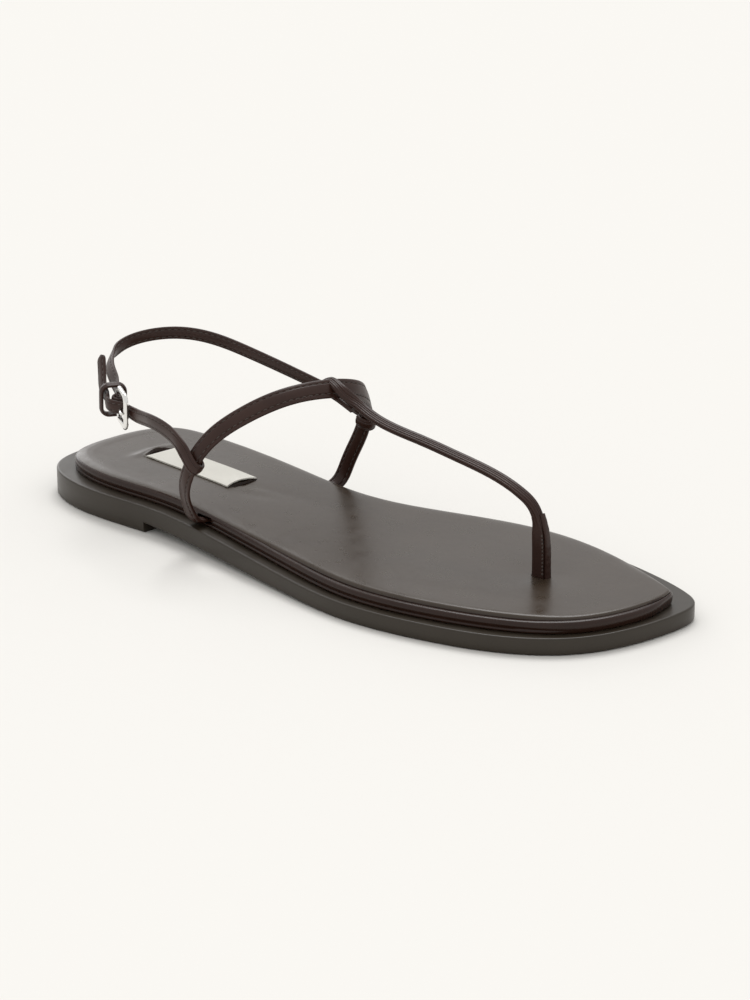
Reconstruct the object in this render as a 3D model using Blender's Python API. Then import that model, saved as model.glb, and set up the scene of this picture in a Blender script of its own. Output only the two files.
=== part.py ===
"""Flat leather T-strap sandal for the right foot, with a toe post and a buckled ankle strap.

Lengths are in millimetres in the tables and become metres when a mesh is made. In the tables x runs
from the back of the heel to the toe, y is positive on the inner (medial) side of the foot and z is
the height above the floor. The finished sandal stands on z = 0 with its box centred on the origin.
"""
import math

import bmesh
import bpy
import numpy as np

MM = 0.001
GAP = 0.3

# Sole: the ledge drops from the heel to the ball, and the underside is lifted at the waist
SOLE_LENGTH = 254.0
OUTSOLE_THICKNESS = 5.8
HEEL_RISE = 3.8
WAIST_LIFT = 3.4
WAIST_POWER = 1.2
BREAST_X = 62.0
BALL_X = 168.0
SPRING_START_X = 222.0
TOE_SPRING = 0.7
EDGE_ROUND = 0.7
TOP_EDGE_ROUND = 0.4
FOOTBED_THICKNESS = 4.2
FOOTBED_CROWN = 0.5
CROWN_REACH = 22.0
CROWN_INSETS = (5.0, 14.0)
STATIONS = 44
LADDER_COLUMNS = 4

# Sole outline, a row for each point: x, y, width of the ledge that the footbed leaves bare there
OUTLINE = [
    (0.0, -3.0, 6.6),
    (4.5, -26.0, 6.6),
    (22.0, -36.5, 5.8),
    (62.0, -38.5, 5.0),
    (100.0, -42.5, 4.6),
    (140.0, -49.0, 4.4),
    (168.0, -52.0, 4.0),
    (200.0, -47.8, 4.2),
    (226.0, -38.5, 4.4),
    (243.0, -24.5, 3.2),
    (251.0, -7.5, 3.0),
    (254.0, 9.0, 4.2),
    (254.3, 16.5, 5.8),
    (253.2, 23.2, 7.2),
    (250.2, 27.6, 8.2),
    (244.8, 31.0, 8.6),
    (235.0, 34.8, 8.2),
    (223.0, 38.0, 7.0),
    (206.0, 41.0, 5.4),
    (190.0, 41.6, 4.0),
    (160.0, 37.0, 3.0),
    (135.0, 28.5, 3.6),
    (113.0, 23.6, 4.2),
    (88.0, 25.5, 5.8),
    (60.0, 29.8, 7.0),
    (30.0, 32.5, 8.0),
    (11.0, 27.5, 7.6),
    (2.0, 13.5, 7.0),
]
SHIFT = (-127.14, 5.25)

# Footbed side wall from the ledge up: inset from its widest line, height as a share of the thickness
FOOTBED_WALL = [
    (1.0, 0.00),
    (0.5, 0.12),
    (0.5, 0.28),
    (1.1, 0.36),
    (0.2, 0.48),
    (0.0, 0.64),
    (0.5, 0.84),
    (1.7, 0.96),
    (3.6, 1.00),
]

# Strap sections: width and thickness
POST_SECTION = (3.4, 6.2)
TOE_STRAP_SECTION = (4.8, 2.2)
INSTEP_SECTION = (5.6, 2.1)
ANKLE_SECTION = (4.6, 1.6)
LOOP_SECTION = (7.2, 4.2)
STRAP_STEP = 3.2
WRAP_STEP = 1.2
STRAP_NECK = 0.66
NECK_LENGTH = 22.0

# Strap routes: x, y, z of the middle of the strap
POST_FOOT = (207.3, 1.8)
POST_TOP_Z = 31.0
TOE_ROUTE = [
    (207.2, 1.8, 14.0),
    (207.0, 1.8, 22.0),
    (206.0, 1.7, 28.6),
    (203.4, 1.4, 33.8),
    (199.2, 1.0, 36.8),
    (188.0, 0.1, 41.0),
    (174.0, -1.2, 44.0),
    (158.0, -2.7, 46.9),
    (139.0, -4.4, 50.8),
    (130.4, -5.2, 54.2),
]
KNOT_CENTRE = (122.6, -3.2, 57.4)
KNOT_WRAP = [
    (130.4, -5.2, 54.2),
    (126.6, -4.4, 57.8),
    (122.4, -3.4, 59.6),
    (118.6, -3.0, 59.2),
    (117.1, -2.9, 57.1),
    (119.4, -3.3, 54.9),
    (124.8, -4.2, 53.6),
    (132.0, -5.4, 52.2),
]
INSTEP_ROUTE = [
    (89.0, -33.4, 11.2),
    (88.2, -38.4, 12.0),
    (88.4, -41.8, 16.0),
    (90.6, -45.8, 22.8),
    (94.8, -48.8, 30.8),
    (99.5, -45.4, 41.6),
    (107.8, -35.0, 51.6),
    (115.6, -23.8, 57.0),
    (122.0, -9.4, 58.2),
    (123.2, 4.0, 55.2),
    (117.0, 16.0, 46.6),
    (108.5, 21.8, 32.0),
    (101.0, 23.0, 19.0),
    (98.2, 21.0, 12.0),
    (97.4, 16.8, 10.6),
]
LATERAL_LOOP = [(95.4, -48.9, 32.4), (96.5, -48.4, 35.0), (97.7, -47.3, 37.6)]
MEDIAL_LOOP = [(113.0, 19.2, 41.5), (111.3, 20.4, 38.0), (109.6, 21.3, 34.5)]
ANKLE_ROUTE = [
    (110.5, 21.6, 38.2),
    (99.0, 23.6, 42.0),
    (84.0, 22.8, 45.5),
    (53.0, 21.0, 50.8),
    (28.0, 11.8, 54.4),
    (16.6, -4.6, 51.0),
    (23.0, -16.4, 47.6),
    (32.2, -22.8, 45.2),
]
LATERAL_STRAP_ROUTE = [
    (96.8, -49.6, 35.4),
    (92.4, -49.0, 38.9),
    (84.6, -46.4, 41.2),
    (72.0, -43.0, 42.4),
]

# Directions that the straps' outer faces turn to: away from these axes, and forwards and up at the toe
INSTEP_AXIS = (0.0, -12.0, 22.0)
ANKLE_AXIS = (62.0, -8.0, 0.0)
HEEL_SLENDERNESS = 1.6
TOE_FACING = (0.5, 0.0, 0.87)

# Buckle: rear bar under the ankle strap's fold, front bar over the lateral strap
BUCKLE_CENTRE = (50.1, -35.9, 42.2)
BUCKLE_TURN_DEG = -30.0
BUCKLE_TILT_DEG = 4.0
BUCKLE_LENGTH = 10.6
BUCKLE_HEIGHT = 10.9
BUCKLE_WIRE = 1.6
BUCKLE_CORNER = 2.0
PRONG_WIRE = 1.1
PRONG_SLOT = 2.0
LAYER_GAP = 0.1
FOLD_STRAIGHT = 9.6
FOLD_STUB = 3.6
KEEPER_BACK = 6.4
KEEPER_BAND = (3.4, 1.1)
KEEPER_HALF = (5.4, 4.2)
KEEPER_CORNER = 2.6
KEEPER_SHIFT = (-1.2, 0.6)
TIP_ROUTE = [(36.2, -31.4, 44.2), (31.8, -28.2, 48.2), (27.4, -24.4, 54.0)]

# Label strip threaded through two slits of the footbed
LABEL_CENTRE = (57.0, -5.6)
LABEL_SIZE = (45.0, 13.4)
LABEL_THICKNESS = 0.6
LABEL_TURN_DEG = -5.0
LABEL_ARCH = 0.9
SLIT_DEPTH = 1.6
SLIT_WIDTH = 1.3

COLOURS = {
    "outsole": ((0.052, 0.046, 0.041), 0.55, 0.0),
    "footbed": ((0.060, 0.050, 0.045), 0.36, 0.0),
    "footbed_label": ((0.80, 0.78, 0.72), 0.60, 0.0),
    "upper": ((0.045, 0.032, 0.028), 0.42, 0.0),
    "keeper_loop": ((0.045, 0.032, 0.028), 0.42, 0.0),
    "buckle_frame": ((0.78, 0.77, 0.75), 0.16, 1.0),
    "buckle_prong": ((0.78, 0.77, 0.75), 0.16, 1.0),
}


def clear_scene():
    """Start from an empty scene."""
    for item in list(bpy.data.objects):
        bpy.data.objects.remove(item, do_unlink=True)


def smooth_step(value):
    """Ease from 0 to 1 with level ends."""
    share = np.clip(value, 0.0, 1.0)
    return share * share * (3.0 - 2.0 * share)


def spline(points, closed=False, density=24):
    """Dense points on a cubic spline through the given ones, with the chord length as parameter."""
    knots = np.asarray(points, float)
    if closed:
        knots = np.vstack([knots, knots[:1]])
    span = np.linalg.norm(np.diff(knots[:, :2 if closed else 3], axis=0), axis=1)
    count = len(knots)
    slope = np.diff(knots, axis=0) / span[:, None]
    matrix = np.zeros((count, count))
    right = np.zeros_like(knots)
    for i in range(1, count - 1):
        matrix[i, i - 1:i + 2] = (span[i - 1], 2.0 * (span[i - 1] + span[i]), span[i])
        right[i] = 6.0 * (slope[i] - slope[i - 1])
    if closed:
        matrix[0, 0], matrix[0, -1] = 1.0, -1.0
        matrix[-1, 0] = 2.0 * span[0]
        matrix[-1, 1] = span[0]
        matrix[-1, -2] = span[-1]
        matrix[-1, -1] = 2.0 * span[-1]
        right[-1] = 6.0 * (slope[0] - slope[-1])
    else:
        matrix[0, 0] = matrix[-1, -1] = 1.0
    bend = np.linalg.solve(matrix, right)
    dense = []
    for i in range(count - 1):
        t = np.linspace(0.0, 1.0, density, endpoint=False)[:, None]
        h = span[i]
        straight = (1.0 - t) * knots[i] + t * knots[i + 1]
        curve = ((1.0 - t) ** 3 - (1.0 - t)) * bend[i] + (t ** 3 - t) * bend[i + 1]
        dense.append(straight + curve * h * h / 6.0)
    if not closed:
        dense.append(knots[-1:])
    return np.vstack(dense)


def evenly(dense, step):
    """Points about one step apart along a dense line, ends included."""
    length = np.concatenate([[0.0], np.cumsum(np.linalg.norm(np.diff(dense, axis=0), axis=1))])
    count = max(3, int(round(length[-1] / step)) + 1)
    wanted = np.linspace(0.0, length[-1], count)
    return np.stack([np.interp(wanted, length, column) for column in dense.T], axis=1)


def heel_share(x):
    """1 at the heel, easing to 0 at the ball."""
    return 1.0 - smooth_step((x - BREAST_X) / (BALL_X - BREAST_X))


def toe_lift(x):
    """Toe spring: level to its start, then rising to the tip."""
    return TOE_SPRING * (np.clip(x - SPRING_START_X, 0.0, None) / (SOLE_LENGTH - SPRING_START_X)) ** 2


def sole_under(x):
    """Height of the forepart's underside: lifted at the waist, level at the ball, sprung at the toe."""
    share = np.clip((BALL_X - x) / (BALL_X - BREAST_X), 0.0, 1.0)
    return WAIST_LIFT * share ** WAIST_POWER + toe_lift(x)


def sole_top(x):
    """Height of the ledge that carries the footbed."""
    return OUTSOLE_THICKNESS + HEEL_RISE * heel_share(x) + toe_lift(x)


def footbed_top(x, inset):
    """Height of the footbed's padded top, a little higher away from its rolled edge."""
    crown = FOOTBED_CROWN * smooth_step(inset / CROWN_REACH)
    return sole_top(x) + GAP + FOOTBED_THICKNESS + crown


def outline(inset, on_footbed=False):
    """Closed sole outline moved inwards by an inset, from the outsole's or the footbed's edge."""
    table = np.asarray(OUTLINE)
    points = table[:, :2]
    along = np.roll(points, -1, axis=0) - np.roll(points, 1, axis=0)
    along /= np.linalg.norm(along, axis=1, keepdims=True)
    inward = np.stack([-along[:, 1], along[:, 0]], axis=1)
    ledge = table[:, 2:] if on_footbed else 0.0
    return spline(points + inward * (ledge + inset), closed=True)


def rails(closed_line, extra=None):
    """The lateral and medial edges at shared stations from heel to toe, as two lists of x, y."""
    heel = int(np.argmin(closed_line[:, 0]))
    line = np.roll(closed_line, -heel, axis=0)
    toe = int(np.argmax(line[:, 0]))
    lateral = line[:toe + 1]
    medial = np.vstack([line[toe:], line[:1]])[::-1]
    share = 0.5 * (1.0 - np.cos(math.pi * np.arange(STATIONS + 1) / STATIONS))
    low, high = line[0, 0], line[toe, 0]
    stations = low + (high - low) * share
    if extra is not None:
        stations = np.sort(np.concatenate([stations, [extra, extra]]))
    edges = []
    for side in (lateral, medial):
        order = np.argsort(side[:, 0], kind="stable")
        edges.append(np.stack([stations, np.interp(stations, side[order, 0], side[order, 1])], axis=1))
    return edges


def to_part(points):
    """Millimetres in the tables' frame to metres about the part's origin."""
    moved = np.array(points, float)
    moved[:, 0] += SHIFT[0]
    moved[:, 1] += SHIFT[1]
    return moved * MM


def make_object(name, verts, faces, helper=False):
    """A mesh object with its faces turned outwards and its own material."""
    mesh = bpy.data.meshes.new(name)
    mesh.from_pydata([tuple(v) for v in verts], [], faces)
    shape = bmesh.new()
    shape.from_mesh(mesh)
    bmesh.ops.remove_doubles(shape, verts=shape.verts, dist=1e-6)
    bmesh.ops.dissolve_degenerate(shape, edges=shape.edges, dist=1e-6)
    bmesh.ops.recalc_face_normals(shape, faces=shape.faces)
    shape.to_mesh(mesh)
    shape.free()
    mesh.shade_smooth()
    mesh.set_sharp_from_angle(angle=math.radians(40.0))
    item = bpy.data.objects.new(name, mesh)
    bpy.context.scene.collection.objects.link(item)
    if helper:
        item.hide_render = True
        item.display_type = "WIRE"
    else:
        mesh.materials.append(make_material(name))
    return item


def make_material(name):
    """Principled material with the piece's colour, roughness and metallic value."""
    colour, roughness, metallic = COLOURS[name]
    material = bpy.data.materials.new(name)
    material.use_nodes = True
    shader = material.node_tree.nodes["Principled BSDF"]
    shader.inputs["Base Color"].default_value = (*colour, 1.0)
    shader.inputs["Roughness"].default_value = roughness
    shader.inputs["Metallic"].default_value = metallic
    return material


def add_boolean(item, tool, operation):
    """Join or cut with a helper object."""
    modifier = item.modifiers.new(tool.name, "BOOLEAN")
    modifier.operation = operation
    modifier.solver = "EXACT"
    modifier.object = tool


def plate(name, levels, helper=False):
    """Closed body from stacked outlines; each level holds its two rails and their heights."""
    verts = []
    faces = []
    stations = len(levels[0][0][0])
    ring_size = 2 * stations
    for (lateral, medial), heights in levels:
        for edge, height in zip((lateral, medial[::-1]), (heights[0], heights[1][::-1])):
            verts.extend(np.column_stack([edge, height]))
    for level in range(len(levels) - 1):
        base = level * ring_size
        for i in range(ring_size):
            j = (i + 1) % ring_size
            faces.append((base + i, base + j, base + ring_size + j, base + ring_size + i))
    for level in (0, len(levels) - 1):
        add_ladder(verts, faces, levels[level], level * ring_size)
    return make_object(name, to_part(verts), faces, helper)


def add_ladder(verts, faces, level, base):
    """Fill one level from rail to rail with rows of quads."""
    (lateral, medial), heights = level
    stations = len(lateral)
    ring_size = 2 * stations
    columns = []
    for i in range(stations):
        row = [base + i]
        for k in range(1, LADDER_COLUMNS):
            share = k / LADDER_COLUMNS
            point = (1.0 - share) * lateral[i] + share * medial[i]
            height = (1.0 - share) * heights[0][i] + share * heights[1][i]
            row.append(len(verts))
            verts.append(np.array([point[0], point[1], height]))
        row.append(base + ring_size - 1 - i)
        columns.append(row)
    for i in range(stations - 1):
        for k in range(LADDER_COLUMNS):
            faces.append((columns[i][k], columns[i + 1][k], columns[i + 1][k + 1], columns[i][k + 1]))


def outsole():
    """Outsole with its heel: lifted at the waist behind the ball, stepped at the heel breast."""
    levels = []
    for inset, rise in ((EDGE_ROUND, 0.0), (0.0, EDGE_ROUND)):
        edges = rails(outline(inset), BREAST_X)
        levels.append((edges, [underside(edge[:, 0]) + rise for edge in edges]))
    for inset, drop in ((0.0, TOP_EDGE_ROUND), (TOP_EDGE_ROUND, 0.0)):
        edges = rails(outline(inset), BREAST_X)
        levels.append((edges, [sole_top(edge[:, 0]) - drop for edge in edges]))
    return plate("outsole", levels)


def underside(stations):
    """Heights under the stations: the heel stands on the floor, up to the first of the two at the breast."""
    heights = sole_under(stations)
    breast = int(np.searchsorted(stations, BREAST_X, side="left"))
    heights[:breast + 1] = 0.0
    return heights


def drawn_in(edges, inset):
    """Both edges drawn in towards the middle of the footbed, by the inset at its widest and its ends."""
    both = np.vstack(edges)
    low, high = both.min(axis=0), both.max(axis=0)
    middle = 0.5 * (low + high)
    return [middle + (edge - middle) * (1.0 - 2.0 * inset / (high - low)) for edge in edges]


def footbed():
    """Padded insole with a lip, a groove and a rolled edge round its side wall."""
    levels = []
    for inset, share in FOOTBED_WALL:
        edges = rails(outline(inset, on_footbed=True))
        heights = [sole_top(edge[:, 0]) + GAP + share * FOOTBED_THICKNESS for edge in edges]
        levels.append((edges, heights))
    rim = edges
    for inset in CROWN_INSETS:
        edges = drawn_in(rim, inset)
        heights = [footbed_top(edge[:, 0], inset) for edge in edges]
        levels.append((edges, heights))
    return plate("footbed", levels)


def section(width, thickness):
    """Soft rectangle of a strap as offsets across and out."""
    a, b = 0.5 * width, 0.5 * thickness
    return [(-a, -0.4 * b), (-0.8 * a, -b), (0.8 * a, -b), (a, -0.4 * b),
            (a, 0.4 * b), (0.8 * a, b), (-0.8 * a, b), (-a, 0.4 * b)]


def round_section(diameter, sides=8):
    """Round wire as offsets across and out."""
    turn = 2.0 * math.pi * (np.arange(sides) + 0.5) / sides
    return np.stack([0.5 * diameter * np.cos(turn), 0.5 * diameter * np.sin(turn)], axis=1)


def sweep(name, line, profile, facing, closed=False, helper=False, widths=None):
    """Carry a section along a line, its outer face towards one facing direction or one for each point.

    The widths, if given, are a share of the section's width for each point.
    """
    line = np.asarray(line, float)
    outward = np.broadcast_to(np.asarray(facing, float), line.shape)
    ahead = np.roll(line, -1, axis=0) - np.roll(line, 1, axis=0)
    if not closed:
        ahead[0] = line[1] - line[0]
        ahead[-1] = line[-1] - line[-2]
    ahead /= np.linalg.norm(ahead, axis=1, keepdims=True)
    widths = np.ones(len(line)) if widths is None else widths
    verts = []
    faces = []
    size = len(profile)
    for point, tangent, out, wide in zip(line, ahead, outward, widths):
        out = out - tangent * np.dot(out, tangent)
        out /= np.linalg.norm(out)
        across = np.cross(out, tangent)
        for side, rise in profile:
            verts.append(point + across * (side * wide) + out * rise)
    rows = len(line) if closed else len(line) - 1
    for i in range(rows):
        here, there = i * size, ((i + 1) % len(line)) * size
        for k in range(size):
            n = (k + 1) % size
            faces.append((here + k, there + k, there + n, here + n))
    if not closed:
        faces.append(tuple(range(size)))
        faces.append(tuple(range(len(verts) - size, len(verts))))
    return make_object(name, to_part(verts), faces, helper)


def away_from(line, axis, weight):
    """Directions away from an axis point, each coordinate weighted; a zero weight leaves it out."""
    return (np.asarray(line) - np.asarray(axis)) * np.asarray(weight)


def face_from_instep(line):
    """Outer face of the instep strap: away from the middle of the foot."""
    return away_from(line, INSTEP_AXIS, (0.0, 1.0, 1.0))


def face_from_ankle(line):
    """Outer face of the ankle strap: level, away from the middle of the heel, which is long and narrow."""
    return away_from(line, ANKLE_AXIS, (1.0, HEEL_SLENDERNESS, 0.0))


def buckle_axes():
    """Unit directions of the buckle: along the strap, across it and outwards."""
    turn = math.radians(BUCKLE_TURN_DEG)
    tilt = math.radians(BUCKLE_TILT_DEG)
    along = np.array([math.cos(turn) * math.cos(tilt), math.sin(turn) * math.cos(tilt), -math.sin(tilt)])
    across = np.array([0.0, 0.0, 1.0])
    across = across - along * np.dot(across, along)
    across /= np.linalg.norm(across)
    return along, across, np.cross(along, across)


def in_buckle(rows):
    """Points given along, across and out of the buckle, measured from its rear bar."""
    along, across, out = buckle_axes()
    rear = np.asarray(BUCKLE_CENTRE) - along * 0.5 * BUCKLE_LENGTH
    return [tuple(rear + along * a + across * b + out * c) for a, b, c in rows]


def fold_radius():
    """Radius of the middle of the ankle strap round the rear bar."""
    return 0.5 * BUCKLE_WIRE + GAP + 0.5 * ANKLE_SECTION[1]


def arc_rows(radius, start_deg, end_deg, count):
    """Rows on an arc round the rear bar, from the inner side over the front to the outer side."""
    turns = np.radians(np.linspace(start_deg, end_deg, count))
    return [(radius * math.cos(t), 0.0, radius * math.sin(t)) for t in turns]


def ankle_strap():
    """Long strap from the medial loop round the heel, folded round the buckle's rear bar."""
    radius = fold_radius()
    straight = [(-FOLD_STRAIGHT, 0.0, -radius), (-FOLD_STRAIGHT / 2.0, 0.0, -radius)]
    run = spline(ANKLE_ROUTE + in_buckle(straight))
    run = evenly(run, STRAP_STEP)
    fold = np.asarray(in_buckle(arc_rows(radius, -90.0, 90.0, 7)))
    stub_rows = [(-FOLD_STUB / 2.0, 0.0, radius - 0.4), (-FOLD_STUB, 0.0, 0.4 - radius / 2.0)]
    stub = np.asarray(in_buckle(stub_rows))
    out = buckle_axes()[2]
    rear = in_buckle([(0.0, 0.0, 0.0)])[0]
    facing = np.vstack([-face_from_ankle(run), away_from(fold, rear, (1.0, 1.0, 1.0)), [out] * len(stub)])
    return sweep("ankle_strap", np.vstack([run, fold, stub]), section(*ANKLE_SECTION), facing, helper=True)


def lateral_strap():
    """Short strap from the lateral loop through the buckle, with its free end left standing."""
    under = -fold_radius() - LAYER_GAP
    over = fold_radius() + ANKLE_SECTION[1] + GAP + LAYER_GAP
    through = [(BUCKLE_LENGTH, 0.0, under), (BUCKLE_LENGTH * 0.55, 0.0, LAYER_GAP), (2.3, 0.0, over * 0.84),
               (0.0, 0.0, over), (-KEEPER_BACK / 2.0, 0.0, over - 0.5), (-KEEPER_BACK, 0.0, over - 1.2)]
    line = evenly(spline(LATERAL_STRAP_ROUTE + in_buckle(through) + TIP_ROUTE), STRAP_STEP * 0.75)
    return sweep("lateral_strap", line, section(*ANKLE_SECTION), face_from_ankle(line), helper=True)


def upper():
    """All straps as one body: toe post, toe strap, knot, instep strap, ankle and lateral straps."""
    post_foot = (*POST_FOOT, sole_top(POST_FOOT[0]) + GAP)
    post = evenly(spline([post_foot] + TOE_ROUTE[:4]), STRAP_STEP)
    post = post[post[:, 2] < POST_TOP_Z]
    toe_strap = evenly(spline(TOE_ROUTE[1:]), STRAP_STEP)
    neck = STRAP_NECK + (1.0 - STRAP_NECK) * smooth_step(np.arange(len(toe_strap)) * STRAP_STEP / NECK_LENGTH)
    instep = evenly(spline(INSTEP_ROUTE), STRAP_STEP)
    knot = evenly(spline(KNOT_WRAP), WRAP_STEP)
    around_knot = away_from(knot, KNOT_CENTRE, (1.0, 1.0, 1.0))
    item = sweep("upper", toe_strap, section(*TOE_STRAP_SECTION), TOE_FACING, widths=neck)
    tools = [
        sweep("toe_post", post, section(*POST_SECTION), TOE_FACING, helper=True),
        sweep("instep_strap", instep, section(*INSTEP_SECTION), face_from_instep(instep), helper=True),
        sweep("knot", knot, section(*TOE_STRAP_SECTION), around_knot, helper=True),
        ankle_strap(),
        lateral_strap(),
    ]
    for name, rows in (("lateral_loop", LATERAL_LOOP), ("medial_loop", MEDIAL_LOOP)):
        tools.append(sweep(name, rows, section(*LOOP_SECTION), face_from_instep(rows), helper=True))
    for tool in tools:
        add_boolean(item, tool, "UNION")
    add_boolean(item, prong_slot(), "DIFFERENCE")
    return item


def box_between(name, rows):
    """Helper box whose eight corners are given in order, bottom ring then top ring."""
    faces = [(0, 1, 2, 3), (4, 5, 6, 7), (0, 1, 5, 4), (1, 2, 6, 5), (2, 3, 7, 6), (3, 0, 4, 7)]
    return make_object(name, to_part(rows), faces, helper=True)


def prong_slot():
    """Slot that lets the prong through the ankle strap's fold and the lateral strap's hole."""
    half = 0.5 * PRONG_SLOT
    outer = fold_radius() + 0.5 * ANKLE_SECTION[1] + LAYER_GAP
    rear, front = -outer, BUCKLE_LENGTH - PRONG_SLOT
    ring = [(rear, -half), (front, -half), (front, half), (rear, half)]
    rows = [(a, b, -outer) for a, b in ring] + [(a, b, outer) for a, b in ring]
    return box_between("prong_slot", in_buckle(rows))


def rounded_loop(half_a, half_b, corner, arc_steps=3):
    """Closed rounded rectangle as pairs, anticlockwise."""
    pairs = []
    for quarter, (sa, sb) in enumerate(((1, 1), (-1, 1), (-1, -1), (1, -1))):
        for step in range(arc_steps + 1):
            turn = math.radians(90.0 * (quarter + step / arc_steps))
            pairs.append((sa * (half_a - corner) + corner * math.cos(turn),
                          sb * (half_b - corner) + corner * math.sin(turn)))
    return pairs


def buckle_frame():
    """Polished wire frame round both straps."""
    pairs = rounded_loop(0.5 * BUCKLE_LENGTH, 0.5 * BUCKLE_HEIGHT, BUCKLE_CORNER)
    line = in_buckle([(a + 0.5 * BUCKLE_LENGTH, b, 0.0) for a, b in pairs])
    return sweep("buckle_frame", line, round_section(BUCKLE_WIRE), buckle_axes()[2], closed=True)


def buckle_prong():
    """Pin curled round the rear bar, through the lateral strap's hole and onto the front bar."""
    radius = 0.5 * BUCKLE_WIRE + GAP + 0.5 * PRONG_WIRE
    rows = arc_rows(radius, 75.0, 330.0, 9)
    rows += [(2.0 * radius, 0.0, 0.1 * radius), (BUCKLE_LENGTH - 1.5, 0.0, radius - 0.1),
             (BUCKLE_LENGTH + 0.9, 0.0, radius)]
    return sweep("buckle_prong", in_buckle(rows), round_section(PRONG_WIRE, 6), buckle_axes()[1])


def keeper_loop():
    """Leather loop that holds the lateral strap's free end against the ankle strap."""
    middle = (-KEEPER_BACK, KEEPER_SHIFT[0], KEEPER_SHIFT[1])
    pairs = rounded_loop(KEEPER_HALF[0], KEEPER_HALF[1], KEEPER_CORNER)
    line = in_buckle([(middle[0], middle[1] + b, middle[2] + c) for b, c in pairs])
    facing = away_from(line, in_buckle([middle])[0], (1.0, 1.0, 1.0))
    return sweep("keeper_loop", line, section(*KEEPER_BAND), facing, closed=True)


def label_frame(rows):
    """Points on the footbed given along the label, across it and above the footbed's top."""
    turn = math.radians(LABEL_TURN_DEG)
    points = []
    for a, b, rise in rows:
        x = LABEL_CENTRE[0] + a * math.cos(turn) - b * math.sin(turn)
        y = LABEL_CENTRE[1] + a * math.sin(turn) + b * math.cos(turn)
        points.append((x, y, float(footbed_top(x, CROWN_REACH)) + rise))
    return points


def footbed_label():
    """Plain strip lying on the footbed, arched near the front, both ends tucked into the slits."""
    half = 0.5 * LABEL_SIZE[0]
    rise = GAP + 0.5 * LABEL_THICKNESS
    tuck = rise - 0.5 * SLIT_DEPTH
    crest = rise + LABEL_ARCH
    rows = [(-half - 0.5, 0.0, tuck), (-half + 0.1, 0.0, 0.7 * rise), (-half + 1.5, 0.0, rise)]
    rows += [(a, 0.0, rise) for a in np.linspace(-half + 10.0, half - 10.5, 4)]
    rows += [(half - 5.0, 0.0, crest), (half - 2.2, 0.0, crest), (half - 0.3, 0.0, rise)]
    rows.append((half + 0.5, 0.0, tuck))
    a, b = 0.5 * LABEL_SIZE[1], 0.5 * LABEL_THICKNESS
    return sweep("footbed_label", label_frame(rows), [(-a, -b), (a, -b), (a, b), (-a, b)], (0.0, 0.0, 1.0))


def footbed_cutters():
    """Hole for the toe post, notches for the instep strap's ends and slits for the label."""
    ledge = float(sole_top(POST_FOOT[0]))
    hole = [(*POST_FOOT, ledge - 1.0), (*POST_FOOT, ledge + 2.0 * FOOTBED_THICKNESS)]
    clear = 2.0 * GAP
    post = section(POST_SECTION[0] + clear, POST_SECTION[1] + clear)
    cutters = [sweep("post_hole", hole, post, TOE_FACING, helper=True)]
    notch = section(INSTEP_SECTION[0] + 2.0 * clear, INSTEP_SECTION[1] + 2.0 * clear)
    for name, rows in (("lateral_notch", INSTEP_ROUTE[:5]), ("medial_notch", INSTEP_ROUTE[:-6:-1])):
        first, second = np.asarray(rows[0]), np.asarray(rows[1])
        inner = first + (first - second) * 0.2
        line = evenly(spline([tuple(inner)] + rows), 0.5 * STRAP_STEP)
        cutters.append(sweep(name, line, notch, face_from_instep(line), helper=True))
    half_width = 0.5 * LABEL_SIZE[1] + GAP
    for name, end in (("rear_slit", -1.0), ("front_slit", 1.0)):
        a = end * (0.5 * LABEL_SIZE[0] + GAP)
        ring = [(a - SLIT_WIDTH, -half_width), (a + SLIT_WIDTH, -half_width), (a + SLIT_WIDTH, half_width),
                (a - SLIT_WIDTH, half_width)]
        rows = [(p, q, -SLIT_DEPTH) for p, q in ring] + [(p, q, SLIT_DEPTH) for p, q in ring]
        cutters.append(box_between(name, label_frame(rows)))
    return cutters


def build():
    """Make every piece of the sandal."""
    clear_scene()
    outsole()
    insole = footbed()
    for cutter in footbed_cutters():
        add_boolean(insole, cutter, "DIFFERENCE")
    upper()
    keeper_loop()
    buckle_frame()
    buckle_prong()
    footbed_label()


build()
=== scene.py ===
"""Looks of the leather T-strap sandal, right shoe.

Tables are in millimetres: x from the back of the heel to the toe, y positive on the inner (medial)
side of the foot, z above the floor. to_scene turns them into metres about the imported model's origin.
A span is the start or the end of a change and its length, as the functions rising and falling take it.
"""
import math

import bmesh
import bpy
import numpy as np
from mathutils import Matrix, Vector


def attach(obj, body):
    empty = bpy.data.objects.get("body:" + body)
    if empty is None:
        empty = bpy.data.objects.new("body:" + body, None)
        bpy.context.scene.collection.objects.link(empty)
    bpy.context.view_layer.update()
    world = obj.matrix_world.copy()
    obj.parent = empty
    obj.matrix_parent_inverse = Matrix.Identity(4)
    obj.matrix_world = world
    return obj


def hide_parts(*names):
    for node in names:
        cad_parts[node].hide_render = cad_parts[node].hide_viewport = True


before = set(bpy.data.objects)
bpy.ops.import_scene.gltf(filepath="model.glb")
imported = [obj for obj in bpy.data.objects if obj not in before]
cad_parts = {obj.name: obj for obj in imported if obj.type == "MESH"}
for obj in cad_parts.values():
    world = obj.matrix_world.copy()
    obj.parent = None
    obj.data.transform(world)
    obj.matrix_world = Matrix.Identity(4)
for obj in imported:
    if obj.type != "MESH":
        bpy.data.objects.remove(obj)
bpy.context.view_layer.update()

MM = 0.001
SHIFT = (-127.14, 5.25, 0.0)
UP = (0.0, 0.0, 1.0)
GAP = 0.3
TINY = 1e-9

# Meshes: distances in metres, angle of a sharp edge
MERGE_DISTANCE = 1e-7
SHORTEST_EDGE = 1e-8
SHARP_DEG = 35.0

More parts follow.
